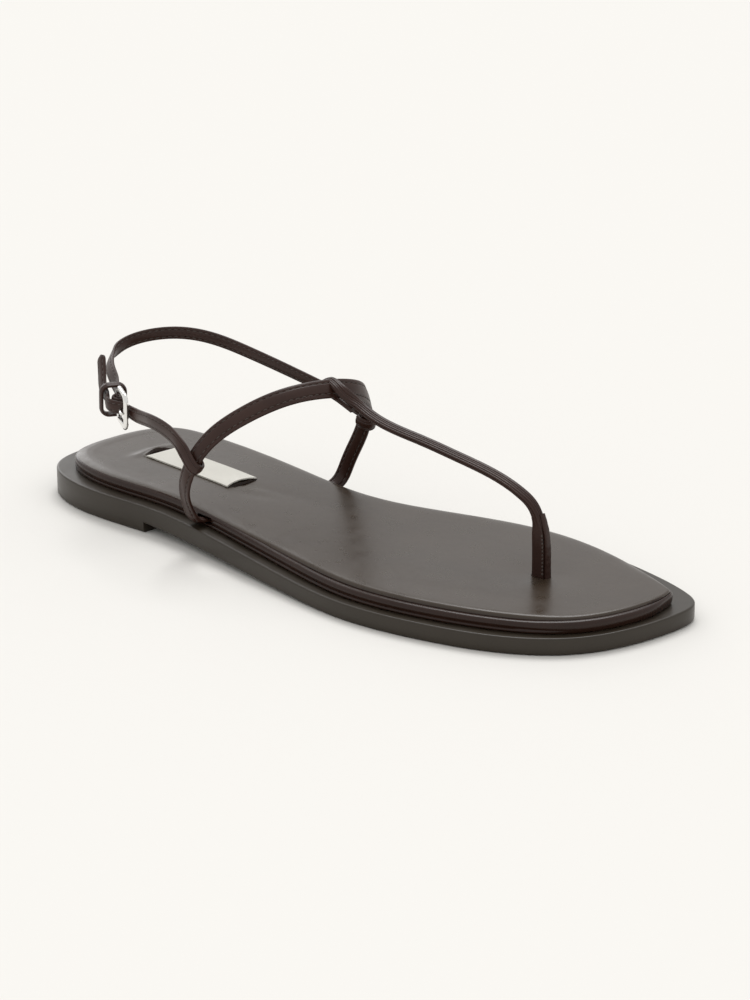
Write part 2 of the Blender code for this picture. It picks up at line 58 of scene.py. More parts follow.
# Sole
SOLE_LENGTH = 254.0
OUTSOLE_THICKNESS = 5.8
HEEL_RISE = 3.8
WAIST_LIFT = 3.4
WAIST_POWER = 1.2
BREAST_X = 62.0
BALL_X = 168.0
SPRING_START_X = 222.0
TOE_SPRING = 0.2
FOOTBED_THICKNESS = 4.75
TOE_PAD = -0.10
REAR_ROWS = 70
FRONT_ROWS = 190
TOP_COLUMNS = 56
UNDER_COLUMNS = 12
OUTLINE_DENSITY = 40
EDGE_SMOOTHING = 3

# Sole outline, a row for each point: x, y, width of the ledge that the footbed leaves bare there
OUTLINE = [
    (0.0, -3.0, 6.6),
    (4.5, -26.0, 6.6),
    (22.0, -36.5, 5.8),
    (62.0, -38.5, 5.0),
    (100.0, -42.5, 4.6),
    (140.0, -49.0, 4.4),
    (168.0, -52.0, 4.0),
    (200.0, -47.8, 4.2),
    (226.0, -38.5, 4.4),
    (243.0, -24.5, 3.2),
    (251.0, -7.5, 3.0),
    (254.0, 9.0, 4.2),
    (254.3, 16.5, 5.8),
    (253.2, 23.2, 7.2),
    (250.2, 27.6, 8.2),
    (244.8, 31.0, 8.6),
    (235.0, 34.8, 8.2),
    (223.0, 38.0, 7.0),
    (206.0, 41.0, 5.4),
    (190.0, 41.6, 4.0),
    (160.0, 37.0, 3.0),
    (135.0, 28.5, 3.6),
    (113.0, 23.6, 4.2),
    (88.0, 25.5, 5.8),
    (60.0, 29.8, 7.0),
    (30.0, 32.5, 8.0),
    (11.0, 27.5, 7.6),
    (2.0, 13.5, 7.0),
]

# Outsole edge: inset and height above the underside, then inset and depth below the ledge
OUTSOLE_FOOT = [(0.9, 0.0), (0.35, 0.15), (0.08, 0.45), (0.0, 0.9)]
OUTSOLE_BROW = [(0.0, 0.75), (0.05, 0.4), (0.2, 0.14), (0.5, 0.0), (0.9, 0.0), (1.3, 0.0)]

# Footbed edge from the ledge up to its padded top: inset and height at the forefoot, at the toe and at
# the heel. The forefoot has a lip, a rolled bead and a crease inside it, the toe a taller roll without
# the lip, the heel one soft round.
FOOTBED_EDGE = [
    (1.20, -0.26, 1.00, -0.26, 1.20, -0.26),
    (0.30, -0.26, 0.60, -0.26, 0.50, -0.26),
    (-0.02, -0.18, 0.42, -0.16, 0.26, -0.18),
    (-0.20, 0.08, 0.33, 0.04, 0.20, 0.10),
    (-0.26, 0.38, 0.26, 0.28, 0.22, 0.50),
    (-0.20, 0.64, 0.20, 0.52, 0.28, 0.76),
    (0.00, 0.82, 0.16, 0.74, 0.34, 0.88),
    (0.20, 0.92, 0.12, 0.96, 0.32, 0.98),
    (0.20, 1.14, 0.08, 1.18, 0.24, 1.18),
    (0.09, 1.42, 0.04, 1.46, 0.14, 1.48),
    (0.01, 1.78, 0.02, 1.78, 0.08, 1.82),
    (0.00, 2.14, 0.00, 2.20, 0.05, 2.14),
    (0.06, 2.50, 0.05, 2.62, 0.05, 2.44),
    (0.20, 2.84, 0.17, 3.02, 0.08, 2.68),
    (0.44, 3.14, 0.38, 3.38, 0.14, 2.92),
    (0.80, 3.34, 0.70, 3.66, 0.22, 3.14),
    (1.30, 3.45, 1.15, 3.84, 0.34, 3.36),
    (1.85, 3.45, 1.70, 3.90, 0.50, 3.56),
    (2.28, 3.34, 2.15, 3.82, 0.70, 3.74),
    (2.56, 3.08, 2.45, 3.56, 0.94, 3.91),
    (2.66, 3.50, 2.55, 3.86, 1.22, 4.06),
    (2.80, 3.94, 2.68, 4.16, 1.55, 4.19),
    (3.04, 4.32, 2.90, 4.42, 2.10, 4.36),
    (3.50, 4.58, 3.30, 4.62, 3.00, 4.54),
    (4.40, 4.70, 4.40, 4.72, 4.40, 4.66),
]
ROLL_ROW = 11
# CREASE_ROW: the level outside which the footbed's edge gets the darker leather's painted shade
CREASE_ROW = 20
CREASE_SPAN = (84.0, 84.0)
CREASE_END_SPAN = (17.0, 10.0)
TOE_SPAN = (224.0, 20.0)
ROLL_PINCH = 0.6
PINCH_SPAN = (2.0, 15.0)
PAD_REACH = 3.0
RELIEF_REACH = 4.0
POINT_BLOCK = 2000

# Soft hollows and creases of the footbed's top: x, y, radius along and across, turn in degrees, depth
HOLLOWS = [
    (207.3, 1.8, 10.0, 9.0, 0.0, 0.50),
    (36.0, -4.0, 30.0, 18.0, 0.0, 0.30),
    (192.0, -8.0, 36.0, 24.0, 0.0, 0.25),
    (90.0, -12.0, 9.0, 3.4, 24.0, 0.22),
    (93.0, -5.0, 11.0, 3.2, 8.0, 0.20),
    (91.0, -8.4, 9.0, 2.6, 15.0, -0.16),
    (31.0, -3.4, 1.9, 6.6, -5.0, -1.2),
]

# Strap sections: width and thickness
POST_SECTION = (3.4, 6.2)
TOE_STRAP_SECTION = (4.9, 2.6)
INSTEP_SECTION = (5.6, 2.1)
ANKLE_SECTION = (4.6, 1.6)
FINE_STEP = 0.7
FACE_POINTS = 40
EDGE_POINTS = 9
END_BLUNTNESS = 0.985
END_THICKNESS = 0.35

# Strap faces: crown, depth of the edge grooves, their place as a share of the flat, depth of the stitches
INSTEP_FINISH = (0.4, 0.34, 0.74, 0.42)
ANKLE_FINISH = (0.28, 0.26, 0.72, 0.3)
KEEPER_FINISH = (0.2, 0.12, 0.74)
GROOVE_SPREAD = 0.09

# Toe post's sleeve: shares of its height, half width or half depth, and sizes
POST_POINTS = 112
POST_SQUARENESS = 0.45
POST_STEP = 0.4
POST_ROUTE_POINTS = 5
POST_FLARE = 0.05
POST_FLARE_SPAN = (0.0, 0.3)
POST_NECK = 0.15
POST_NECK_SPAN = (0.55, 0.45)
MOUTH_SPAN = (0.72, 0.28)
MOUTH_SLANT = (0.3, 0.6)
MOUTH_TAPER = (0.3, 0.08)
SEAM_PLACE = 0.86
SEAM_SPREAD = (0.06, 0.3)
SEAM_DEPTH = (0.8, 0.7)
FLAP_FRONT_SPAN = (0.8, 0.1)
FLAP_SIDE_SPAN = (0.9, 0.1)
FLAP_RISE = 0.18
RIPPLE_HEIGHT = 0.025
RIPPLE_TURN = 0.9

# Toe strap: ridges, a narrow thick root in the sleeve, a narrower thinner end at the knot
RIDGES = 12
RIDGE_DEPTH = 0.34
RIDGE_SHARPNESS = 0.6
RIDGED_POINTS = 144
RIDGED_SQUARENESS = 0.75
ROOT_WIDTH = 0.64
ROOT_THICKNESS = 1.5
ROOT_SPAN = (6.0, 12.0)
KNOT_SPAN = (136.0, 10.0)
KNOT_NARROWING = 0.16
KNOT_THINNING = 0.2

# Strap routes: x, y, z of the middle of the strap
POST_FOOT = (207.3, 1.8)
POST_TOP_Z = 31.2
TOE_ROUTE = [
    (207.2, 1.8, 14.0),
    (207.0, 1.8, 22.0),
    (206.0, 1.7, 28.6),
    (203.4, 1.4, 33.8),
    (199.2, 1.0, 36.8),
    (188.0, 0.1, 41.0),
    (174.0, -1.2, 44.0),
    (158.0, -2.7, 46.9),
    (139.0, -4.4, 50.8),
    (130.4, -5.0, 54.8),
]
KNOT_CENTRE = (122.2, -5.9, 57.5)
KNOT_WRAP = [
    (126.3, -6.9, 58.3),
    (122.1, -6.2, 59.8),
    (118.7, -5.8, 59.4),
    (118.1, -5.8, 57.6),
    (121.1, -5.4, 55.6),
    (126.0, -5.0, 54.0),
    (131.0, -5.2, 52.4),
]
INSTEP_ROUTE = [
    (89.0, -33.4, 10.5),
    (88.2, -38.4, 11.3),
    (88.4, -41.8, 15.8),
    (90.6, -45.8, 22.8),
    (94.8, -48.8, 30.8),
    (99.5, -45.4, 41.6),
    (107.8, -35.0, 51.6),
    (115.6, -23.8, 57.0),
    (122.0, -9.4, 58.2),
    (123.2, 4.0, 55.2),
    (117.0, 16.0, 46.6),
    (108.5, 21.8, 32.0),
    (101.0, 23.0, 19.0),
    (98.2, 21.0, 12.0),
    (97.4, 16.8, 10.6),
]
INSTEP_FACING = [
    (0.0, (0.0, -0.3, -1.0)),
    (0.035, (0.0, -0.9, -0.5)),
    (0.08, (0.0, -1.0, 0.15)),
    (0.22, (0.05, -1.0, 0.2)),
    (0.36, (0.3, -0.8, 0.55)),
    (0.48, (0.55, -0.4, 0.7)),
    (0.57, (0.85, -0.2, 0.5)),
    (0.64, (0.95, 0.1, 0.3)),
    (0.69, (0.7, 0.6, 0.3)),
    (0.74, (0.2, 0.95, 0.2)),
    (0.80, (-0.1, 1.0, 0.15)),
    (0.955, (-0.2, 1.0, 0.05)),
    (0.985, (-0.1, 0.8, -0.6)),
    (1.0, (0.0, 0.3, -1.0)),
]
LATERAL_LOOP_Z = 36.4
LATERAL_LOOP_RUN = (0.75, -0.1, -0.65)
MEDIAL_LOOP_Z = 38.0
MEDIAL_LOOP_RUN = (0.94, -0.1, -0.33)
ANKLE_ROUTE = [
    (99.0, 23.6, 42.0),
    (84.0, 22.8, 45.5),
    (53.0, 21.0, 50.8),
    (28.0, 11.8, 54.4),
    (16.6, -4.6, 51.0),
    (23.0, -16.4, 47.6),
    (32.2, -22.8, 45.2),
]
LATERAL_STRAP_ROUTE = [
    (84.6, -46.4, 43.2),
    (72.0, -43.0, 43.8),
]
TIP_ROUTE = [(36.2, -31.4, 44.2), (31.8, -28.2, 48.2), (27.4, -24.4, 54.0)]
ANKLE_AXIS = (62.0, -8.0, 0.0)
HEEL_SLENDERNESS = 1.6
TOE_FACING = (0.5, 0.0, 0.87)
TIP_FACING = (-0.1, -1.0, 0.15)
TIP_SPAN = (42.0, 8.0)
ANKLE_LEAN = 0.7
LEAN_SPAN = (38.0, 6.0)
LEAN_SIDE_SPAN = (-6.0, 8.0)

# Widening of straps, and where it starts and ends: shares of the instep strap, places of the lateral one
INSTEP_SWELL = 0.2
INSTEP_SWELL_SPAN = (0.12, 0.3, 0.78, 0.1)
LATERAL_SWELL = 0.14
LATERAL_SWELL_SPAN = (52.0, 8.0, 92.0, 8.0)

# Loops round the instep strap: shares of its half width and of the layers' distance
LOOP_WRAP = [(-1.6, 1.0), (-0.6, 1.05), (0.4, 1.1), (1.0, 0.75), (1.22, 0.0), (1.0, -0.75), (0.4, -1.1),
             (-0.6, -1.05)]
LOOP_GAP = 0.05
LOOP_EASE = 0.2
LOOP_REACH = 5.2
FOLD_REACH = 4.2
NEAR_SHARE = 0.6
LOOP_SMOOTHING = 3
KNOT_SMOOTHING = 4
INSTEP_SMOOTHING = 30

# Buckle. Shoulder of the prong: distance before the front bar, drop. Crossing of the lateral strap: place
# before the rear bar, share of its height over it. Sink: of that strap halfway to the keeper and in it.
BUCKLE_CENTRE = (50.1, -35.9, 42.2)
BUCKLE_TURN_DEG = -30.0
BUCKLE_TILT_DEG = 4.0
BUCKLE_LENGTH = 10.6
BUCKLE_HEIGHT = 10.9
BUCKLE_WIRE = 1.6
FRAME_SECTION = (2.6, 1.8)
BUCKLE_CORNER = 2.0
FRAME_STEP = 0.35
WIRE_POINTS = 18
CORNER_STEPS = 10
ARC_POINTS = 9
PRONG_WIRE = 1.1
PRONG_STEP = 0.3
PRONG_EYE_DEG = (75.0, 330.0)
PRONG_DIP = 0.1
PRONG_SHOULDER = (1.5, 0.1)
PRONG_OVERHANG = 0.9
LAYER_GAP = 0.1
FOLD_RADIUS = 0.5 * BUCKLE_WIRE + GAP + 0.5 * ANKLE_SECTION[1]
FOLD_STRAIGHT = 9.6
FOLD_STUB = 3.6
STUB_DROP = 0.4
CROSSING = (2.3, 0.84)
CROSSING_START = 0.55
KEEPER_BACK = 6.4
KEEPER_BAND = (3.6, 1.4)
KEEPER_HALF = (5.4, 4.2)
KEEPER_CORNER = 2.6
KEEPER_SHIFT = (-1.2, 0.6)
KEEPER_STEP = 0.4
KEEPER_SINK = (0.5, 1.2)

# Label
LABEL_CENTRE = (57.0, -5.6)
LABEL_SIZE = (45.0, 13.4)
LABEL_THICKNESS = 0.5
LABEL_TURN_DEG = -5.0
LABEL_ARCH = 0.7
LABEL_ARCH_LENGTH = 11.0
LABEL_BOW = 0.8
LABEL_BOW_LENGTH = 4.0
LABEL_REST = 0.12
LABEL_STEP = 0.5
LABEL_COLUMNS = 26
LABEL_TUCK = [(0.6, -0.9), (0.1, 0.0)]
LABEL_REAR = (1.4, 8.0)
LABEL_MIDDLE = (-0.4, 0.2)
LABEL_FRONT = (12.0, 6.0, 2.5, 0.0)

# Cuts of the footbed. Slits: end of the label, bulge, width, depth. Hole: heights above the ledge.
SLITS = [(-1.0, 1.3, 2.8, 1.8), (1.0, 0.4, 2.4, 1.6)]
SLIT_ROWS = 15
SLIT_MARGIN = 0.5
SLIT_TIP = 0.12
SLIT_TOP = 2.0
HOLE_HEIGHTS = (-1.0, 4.0, 9.0)
HOLE_EASE = 1.06
NOTCH_SECTION = [(-3.9, -1.25), (3.9, -1.25), (3.9, 0.9), (3.2, 1.35), (-3.2, 1.35), (-3.9, 0.9)]
NOTCH_SHIFT = 0.9
NOTCH_INNER = 1.5
NOTCH_OUTER = 20.0
NOTCH_HEIGHT = 1.75

# Stitches. Shape: share of the stitch along it, share of its radius, rise. Margins: start, end of a row.
STITCH_SHAPE = [
    (-0.5, 0.35, -0.22),
    (-0.4, 0.8, -0.06),
    (-0.15, 1.0, 0.04),
    (0.15, 1.0, 0.04),
    (0.4, 0.8, -0.06),
    (0.5, 0.35, -0.22),
]
STITCH_PITCH = 2.3
STITCH_RADIUS = 0.17
STITCH_FILL = 0.7
STITCH_SIDES = 6
STITCH_STEP = 0.1
INSTEP_MARGINS = (6.0, 6.0)
ANKLE_MARGINS = (26.0, 24.0)
LATERAL_MARGINS = (24.0, 3.0)
POST_MARGINS = (0.8, 0.5)
POST_PITCH = 1.3
POST_RADIUS = 0.25
POST_STITCH_FIRST = 12
POST_STITCH_END = 0.8
POST_STITCH_INSET = 1.15
POST_STITCH_LIFT = 0.06

# Colours, darker and lighter
STRAP_COLOURS = ((0.026, 0.0100, 0.0064), (0.037, 0.0155, 0.0104))
FOOTBED_COLOURS = ((0.036, 0.0240, 0.0150), (0.042, 0.0285, 0.0180))
# Rolled edge of the footbed and its cut faces: the leather is painted darker than the top, as painted shade
# on the edge's wall, in its crease and inside the cuts
EDGE_SHADE_COLOURS = ((0.018, 0.0074, 0.0044), (0.024, 0.0102, 0.0064))
SOLE_COLOURS = ((0.0265, 0.0200, 0.0130), (0.0310, 0.0234, 0.0156))
METAL_COLOURS = ((0.76, 0.75, 0.73), (0.86, 0.85, 0.83))
LABEL_COLOURS = ((0.585, 0.567, 0.512), (0.657, 0.640, 0.585))
# Thread: its own dark brown, painted lighter as a highlight where the stitches catch light
THREAD_AND_HIGHLIGHT_COLOURS = ((0.052, 0.040, 0.034), (0.090, 0.072, 0.063))
FLOOR_COLOUR = (0.785, 0.771, 0.742, 1.0)
WORLD_COLOUR = (1.0, 0.995, 0.985, 1.0)

# Bumps, in metres
GRAIN_DEPTH = 0.00012
MARK_DEPTH = 0.00008
FINE_DEPTH = 0.00005
SCRATCH_DEPTH = 0.00003

# Camera: the photo's station point; the aim and the longer lens frame the shoe
CAMERA_PLACE = (0.7086, -0.7529, 0.3835)
CAMERA_AIM = (0.009, 0.0045, 0.020)
PHOTO_FOCAL_PX = 2365.0
FRAME_HEIGHT_PX = 1000.0
SENSOR_MM = 36.0
ZOOM = 1.37

# Studio lights, aimed at the origin: name, place, angle that each fills in degrees, strength
STUDIO_LIGHTS = [
    ("key", (-1.5, 2.0, 4.25), 32.0, 1.32),
    ("rear", (-1.9, 0.9, 0.7), 30.0, 0.4),
]
WORLD_STRENGTH = 0.82
FLOOR_HALF = 6.0


# Curves

def smooth_step(value):
    """Ease from 0 to 1 with level ends."""
    share = np.clip(value, 0.0, 1.0)
    return share * share * (3.0 - 2.0 * share)


def rising(value, start, length):
    """Ease from 0 at a start to 1 at a length after it."""
    return smooth_step((value - start) / length)


def falling(value, end, length):
    """Ease from 1 at a length before an end to 0 at the end."""
    return smooth_step((end - value) / length)


def plateau(value, start, rise, end, fall):
    """Ease up after a start and down before an end."""
    return rising(value, start, rise) * falling(value, end, fall)


def spline(points, closed=False, density=24):
    """Dense points on a cubic spline through the given ones, with the chord length as parameter."""
    knots = np.asarray(points, float)
    if closed:
        knots = np.vstack([knots, knots[:1]])
    span = np.linalg.norm(np.diff(knots, axis=0), axis=1)
    count = len(knots)
    slope = np.diff(knots, axis=0) / span[:, None]
    matrix = np.zeros((count, count))
    right = np.zeros_like(knots)
    for i in range(1, count - 1):
        matrix[i, i - 1:i + 2] = (span[i - 1], 2.0 * (span[i - 1] + span[i]), span[i])
        right[i] = 6.0 * (slope[i] - slope[i - 1])
    if closed:
        matrix[0, 0], matrix[0, -1] = 1.0, -1.0
        matrix[-1, 0] = 2.0 * span[0]
        matrix[-1, 1] = span[0]
        matrix[-1, -2] = span[-1]
        matrix[-1, -1] = 2.0 * span[-1]
        right[-1] = 6.0 * (slope[0] - slope[-1])
    else:
        matrix[0, 0] = matrix[-1, -1] = 1.0
    bend = np.linalg.solve(matrix, right)
    dense = []
    for i in range(count - 1):
        t = np.linspace(0.0, 1.0, density, endpoint=False)[:, None]
        straight = (1.0 - t) * knots[i] + t * knots[i + 1]
        curve = ((1.0 - t) ** 3 - (1.0 - t)) * bend[i] + (t ** 3 - t) * bend[i + 1]
        dense.append(straight + curve * span[i] ** 2 / 6.0)
    dense.append(knots[-1:])
    return np.vstack(dense)


def distances(line):
    """Length along a line at each of its points."""
    return np.concatenate([[0.0], np.cumsum(np.linalg.norm(np.diff(line, axis=0), axis=1))])


def between(wanted, stations, rows):
    """Rows of a table read off at the wanted places between its stations."""
    return np.stack([np.interp(wanted, stations, column) for column in np.asarray(rows).T], axis=1)


def resample(line, count):
    """A given number of intervals of equal length along a line, ends included."""
    length = distances(line)
    return between(np.linspace(0.0, length[-1], count + 1), length, line)


def evenly(line, step):
    """Points about one step apart along a line, ends included."""
    return resample(line, max(3, int(round(distances(line)[-1] / step))))


def unit(vectors):
    """Rows scaled to length 1."""
    vectors = np.asarray(vectors, float)
    return vectors / np.linalg.norm(vectors, axis=-1, keepdims=True)


def frames(line, facing, closed=False):
    """Directions along a line, across it and out of it, the last as near to the facing as can be."""
    ahead = np.roll(line, -1, axis=0) - np.roll(line, 1, axis=0)
    if not closed:
        ahead[0] = line[1] - line[0]
        ahead[-1] = line[-1] - line[-2]
    ahead = unit(ahead)
    out = np.broadcast_to(np.asarray(facing, float), line.shape)
    out = unit(out - ahead * np.sum(out * ahead, axis=1, keepdims=True))
    return ahead, np.cross(out, ahead), out


def smoothed(vectors, rounds, closed=False):
    """Rows averaged with their neighbours a few times."""
    vectors = np.array(vectors, float)
    for _ in range(rounds):
        before = np.roll(vectors, 1, axis=0)
        after = np.roll(vectors, -1, axis=0)
        if not closed:
            before[0] = vectors[0]
            after[-1] = vectors[-1]
        vectors = 0.25 * before + 0.5 * vectors + 0.25 * after
    return vectors


# Meshes

def to_scene(points):
    """Millimetres in the tables' frame to metres about the origin."""
    return (np.asarray(points, float) + np.asarray(SHIFT)) * MM


def add_object(name, data):
    """A new object in the scene."""
    item = bpy.data.objects.new(name, data)
    bpy.context.scene.collection.objects.link(item)
    return item


def make_mesh(name, shape, sharp_deg=SHARP_DEG):
    """A smooth-shaded mesh from vertices and faces."""
    verts, faces = shape
    mesh = bpy.data.meshes.new(name)
    mesh.from_pydata([tuple(v) for v in to_scene(verts)], [], faces)
    work = bmesh.new()
    work.from_mesh(mesh)
    bmesh.ops.remove_doubles(work, verts=work.verts, dist=MERGE_DISTANCE)
    bmesh.ops.dissolve_degenerate(work, edges=work.edges, dist=SHORTEST_EDGE)
    bmesh.ops.recalc_face_normals(work, faces=work.faces)
    work.to_mesh(mesh)
    work.free()
    mesh.shade_smooth()
    mesh.set_sharp_from_angle(angle=math.radians(sharp_deg))
    return add_object(name, mesh)


def make_piece(name, shape, material, sharp_deg=SHARP_DEG):
    """A mesh with its material that rides on the sandal's one body."""
    item = make_mesh(name, shape, sharp_deg)
    item.data.materials.append(material)
    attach(item, "root")
    return item


def grid_faces(rows, size, first=0, closed=False):
    """Quads between rows of a closed section."""
    faces = []
    for i in range(rows if closed else rows - 1):
        here = first + i * size
        there = first + ((i + 1) % rows) * size
        for k in range(size):
            n = (k + 1) % size
            faces.append((here + k, there + k, there + n, here + n))
    return faces


def capped_faces(rows, size, first=0):
    """Quads between rows of a closed section and a face across each end."""
    last = first + (rows - 1) * size
    return grid_faces(rows, size, first) + [tuple(range(end, end + size)) for end in (first, last)]


def swept(line, profile, facing, closed=False, scale=None):
    """Vertices and faces of a section carried along a line; scale shrinks the section row by row."""
    line = np.asarray(line, float)
    profile = np.asarray(profile, float)
    rows, size = len(line), len(profile)
    _, across, out = frames(line, facing, closed)
    shrink = np.ones((rows, 2)) if scale is None else scale
    sides = profile[None, :, :1] * shrink[:, None, :1]
    rises = profile[None, :, 1:] * shrink[:, None, 1:]
    verts = line[:, None, :] + across[:, None, :] * sides + out[:, None, :] * rises
    faces = grid_faces(rows, size, closed=True) if closed else capped_faces(rows, size)
    return verts.reshape(-1, 3), faces


def round_end(line, half_width):
    """Section scale that rounds off the last end of a strap over half its width."""
    length = distances(line)
    share = np.clip(1.0 - (length[-1] - length) / half_width, 0.0, END_BLUNTNESS)
    wide = np.sqrt(1.0 - share ** 2)
    return np.stack([wide, END_THICKNESS + (1.0 - END_THICKNESS) * wide], axis=1)


def strap_profile(section, crown, groove, groove_at):
    """Closed section of a strap, across and out: two padded faces with edge grooves, round edges."""
    width, thickness = section
    radius = 0.5 * thickness - crown
    flat = 0.5 * width - radius
    u = np.linspace(-1.0, 1.0, FACE_POINTS)
    face = radius + crown * (1.0 - u * u)
    face = face - groove * np.exp(-((np.abs(u) - groove_at) / GROOVE_SPREAD) ** 2)
    outer = np.stack([u * flat, face], axis=1)
    turn = np.linspace(0.5 * math.pi, -0.5 * math.pi, EDGE_POINTS)[1:-1]
    right = np.stack([flat + radius * np.cos(turn), radius * np.sin(turn)], axis=1)
    return np.vstack([outer, right, -outer, -right])


def oblong(section, squareness, count):
    """Closed section, across and out: an oval at squareness 1, nearer to a rectangle below it."""
    turn = 2.0 * math.pi * np.arange(count) / count
    waves = np.stack([np.cos(turn), np.sin(turn)], axis=1)
    return 0.5 * np.asarray(section) * np.sign(waves) * np.abs(waves) ** squareness


def ridged_profile():
    """Soft oblong section with rounded ridges all round, as a strap rolled from pleated leather."""
    ring = oblong(TOE_STRAP_SECTION, RIDGED_SQUARENESS, RIDGED_POINTS)
    length = distances(np.vstack([ring, ring[:1]]))
    place = length[:-1] / length[-1]
    ridge = np.abs(np.sin(math.pi * RIDGES * place)) ** RIDGE_SHARPNESS
    return ring - unit(ring) * (RIDGE_DEPTH * (1.0 - ridge))[:, None]


def stitch_row(line, facing, aside, lift, margins, pitch=STITCH_PITCH, radius=STITCH_RADIUS):
    """Vertices and faces of a row of thread stitches beside the middle of a strap."""
    path = evenly(line, STITCH_STEP)
    share = np.linspace(0.0, 1.0, len(line))
    wanted = np.linspace(0.0, 1.0, len(path))
    ahead, across, out = frames(path, between(wanted, share, facing))
    aside = np.interp(wanted, share, np.broadcast_to(aside, share.shape))
    along, thick, dip = np.asarray(STITCH_SHAPE).T
    turn = 2.0 * math.pi * np.arange(STITCH_SIDES) / STITCH_SIDES
    verts, faces = [], []
    start, end = margins
    for centre in np.arange(start, STITCH_STEP * (len(path) - 1) - end, pitch):
        i = int(centre / STITCH_STEP)
        middle = path[i] + across[i] * aside[i] + out[i] * lift
        faces += capped_faces(len(along), STITCH_SIDES, len(verts))
        for a, r, d in zip(along * STITCH_FILL * pitch, thick * radius, dip):
            ring = middle + ahead[i] * a + out[i] * d
            verts.extend(ring + across[i] * (r * math.cos(t)) + out[i] * (r * math.sin(t)) for t in turn)
    return verts, faces


def joined(parts):
    """Several vertex and face lists as one."""
    verts, faces = [], []
    for part_verts, part_faces in parts:
        first = len(verts)
        verts.extend(part_verts)
        faces.extend(tuple(first + k for k in face) for face in part_faces)
    return verts, faces


# Materials

def node_tree(name):
    """A new material's nodes, links and Principled shader."""
    material = bpy.data.materials.new(name)
    material.use_nodes = True
    tree = material.node_tree
    return material, tree, tree.nodes["Principled BSDF"]


def add_node(tree, kind, values=None, **options):
    """A node with its options and the values of its unlinked sockets."""
    node = tree.nodes.new(kind)
    for key, value in options.items():
        setattr(node, key, value)
    for key, value in (values or {}).items():
        node.inputs[key].default_value = value
    return node


def object_coordinates(tree, stretch=(1.0, 1.0, 1.0)):
    """Object coordinates, stretched along each axis."""
    source = add_node(tree, "ShaderNodeTexCoord")
    mapping = add_node(tree, "ShaderNodeMapping", {"Scale": stretch})
    tree.links.new(source.outputs["Object"], mapping.inputs["Vector"])
    return mapping.outputs["Vector"]


def noise(tree, place, scale, detail=4.0):
    """Noise value between 0 and 1."""
    node = add_node(tree, "ShaderNodeTexNoise", {"Scale": scale, "Detail": detail, "Roughness": 0.55})
    tree.links.new(place, node.inputs["Vector"])
    return node.outputs["Fac"]


def spread(tree, value, low, high, from_low=0.3, from_high=0.7):
    """A value mapped to another range."""
    node = add_node(tree, "ShaderNodeMapRange", {"From Min": from_low, "From Max": from_high,
                                                 "To Min": low, "To Max": high})
    tree.links.new(value, node.inputs["Value"])
    return node.outputs["Result"]


def blended(tree, value, first, second):
    """A colour between two, by a value."""
    node = add_node(tree, "ShaderNodeMix", data_type="RGBA")
    node.inputs[6].default_value = (*first, 1.0)
    node.inputs[7].default_value = (*second, 1.0)
    tree.links.new(value, node.inputs[0])
    return node.outputs[2]


def wired(tree, shader, colour, roughness, layers):
    """Join a shader's colour, roughness and bumps, each with its height, strength and depth in metres."""
    tree.links.new(colour, shader.inputs["Base Color"])
    tree.links.new(roughness, shader.inputs["Roughness"])
    normal = None
    for height, strength, depth in layers:
        node = add_node(tree, "ShaderNodeBump", {"Strength": strength, "Distance": depth})
        tree.links.new(height, node.inputs["Height"])
        if normal is not None:
            tree.links.new(normal, node.inputs["Normal"])
        normal = node.outputs["Normal"]
    tree.links.new(normal, shader.inputs["Normal"])


def pebble(tree, place, size):
    """Leather grain: rounded cells of about the given size in metres, split by fine valleys."""
    cells = add_node(tree, "ShaderNodeTexVoronoi", {"Scale": 1.0 / size, "Randomness": 0.9},
                     feature="SMOOTH_F1")
    warp = add_node(tree, "ShaderNodeTexNoise", {"Scale": 0.35 / size, "Detail": 2.0})
    tree.links.new(place, warp.inputs["Vector"])
    moved = add_node(tree, "ShaderNodeVectorMath", operation="MULTIPLY_ADD")
    moved.inputs[1].default_value = (0.8 * size,) * 3
    tree.links.new(warp.outputs["Color"], moved.inputs[0])
    tree.links.new(place, moved.inputs[2])
    tree.links.new(moved.outputs[0], cells.inputs["Vector"])
    return cells.outputs["Distance"]


def leather(name, colours, rough, grain, strength, specular):
    """Smooth finished leather: clouded colour, fine grain and a soft sheen."""
    material, tree, shader = node_tree(name)
    place = object_coordinates(tree)
    colour = blended(tree, spread(tree, noise(tree, place, 70.0, 5.0), 0.0, 1.0), *colours)
    roughness = spread(tree, noise(tree, place, 160.0, 6.0), rough - 0.05, rough + 0.07)
    shader.inputs["Specular IOR Level"].default_value = specular
    cells = pebble(tree, place, grain)
    fine = noise(tree, place, 2600.0, 3.0)
    layers = [(cells, strength, GRAIN_DEPTH), (fine, 0.5 * strength, FINE_DEPTH)]
    wired(tree, shader, colour, roughness, layers)
    return material


def sole_material():
    """Matte painted sole edge with faint grinding marks that run along it."""
    material, tree, shader = node_tree("sole_rubber")
    place = object_coordinates(tree)
    marks = noise(tree, object_coordinates(tree, (0.12, 0.12, 3.0)), 900.0)
    fine = noise(tree, place, 2200.0, 3.0)
    colour = blended(tree, spread(tree, noise(tree, place, 45.0, 5.0), 0.0, 1.0), *SOLE_COLOURS)
    roughness = spread(tree, marks, 0.30, 0.38)
    shader.inputs["Specular IOR Level"].default_value = 0.36
    wired(tree, shader, colour, roughness, [(marks, 0.05, MARK_DEPTH), (fine, 0.05, FINE_DEPTH)])
    return material


def metal_material():
    """Polished silver-coloured metal with fine wear."""
    material, tree, shader = node_tree("polished_metal")
    scratches = noise(tree, object_coordinates(tree, (1.0, 1.0, 6.0)), 900.0, 5.0)
    colour = blended(tree, noise(tree, object_coordinates(tree), 300.0), *METAL_COLOURS)
    shader.inputs["Metallic"].default_value = 1.0
    wired(tree, shader, colour, spread(tree, scratches, 0.09, 0.2), [(scratches, 0.04, SCRATCH_DEPTH)])
    return material


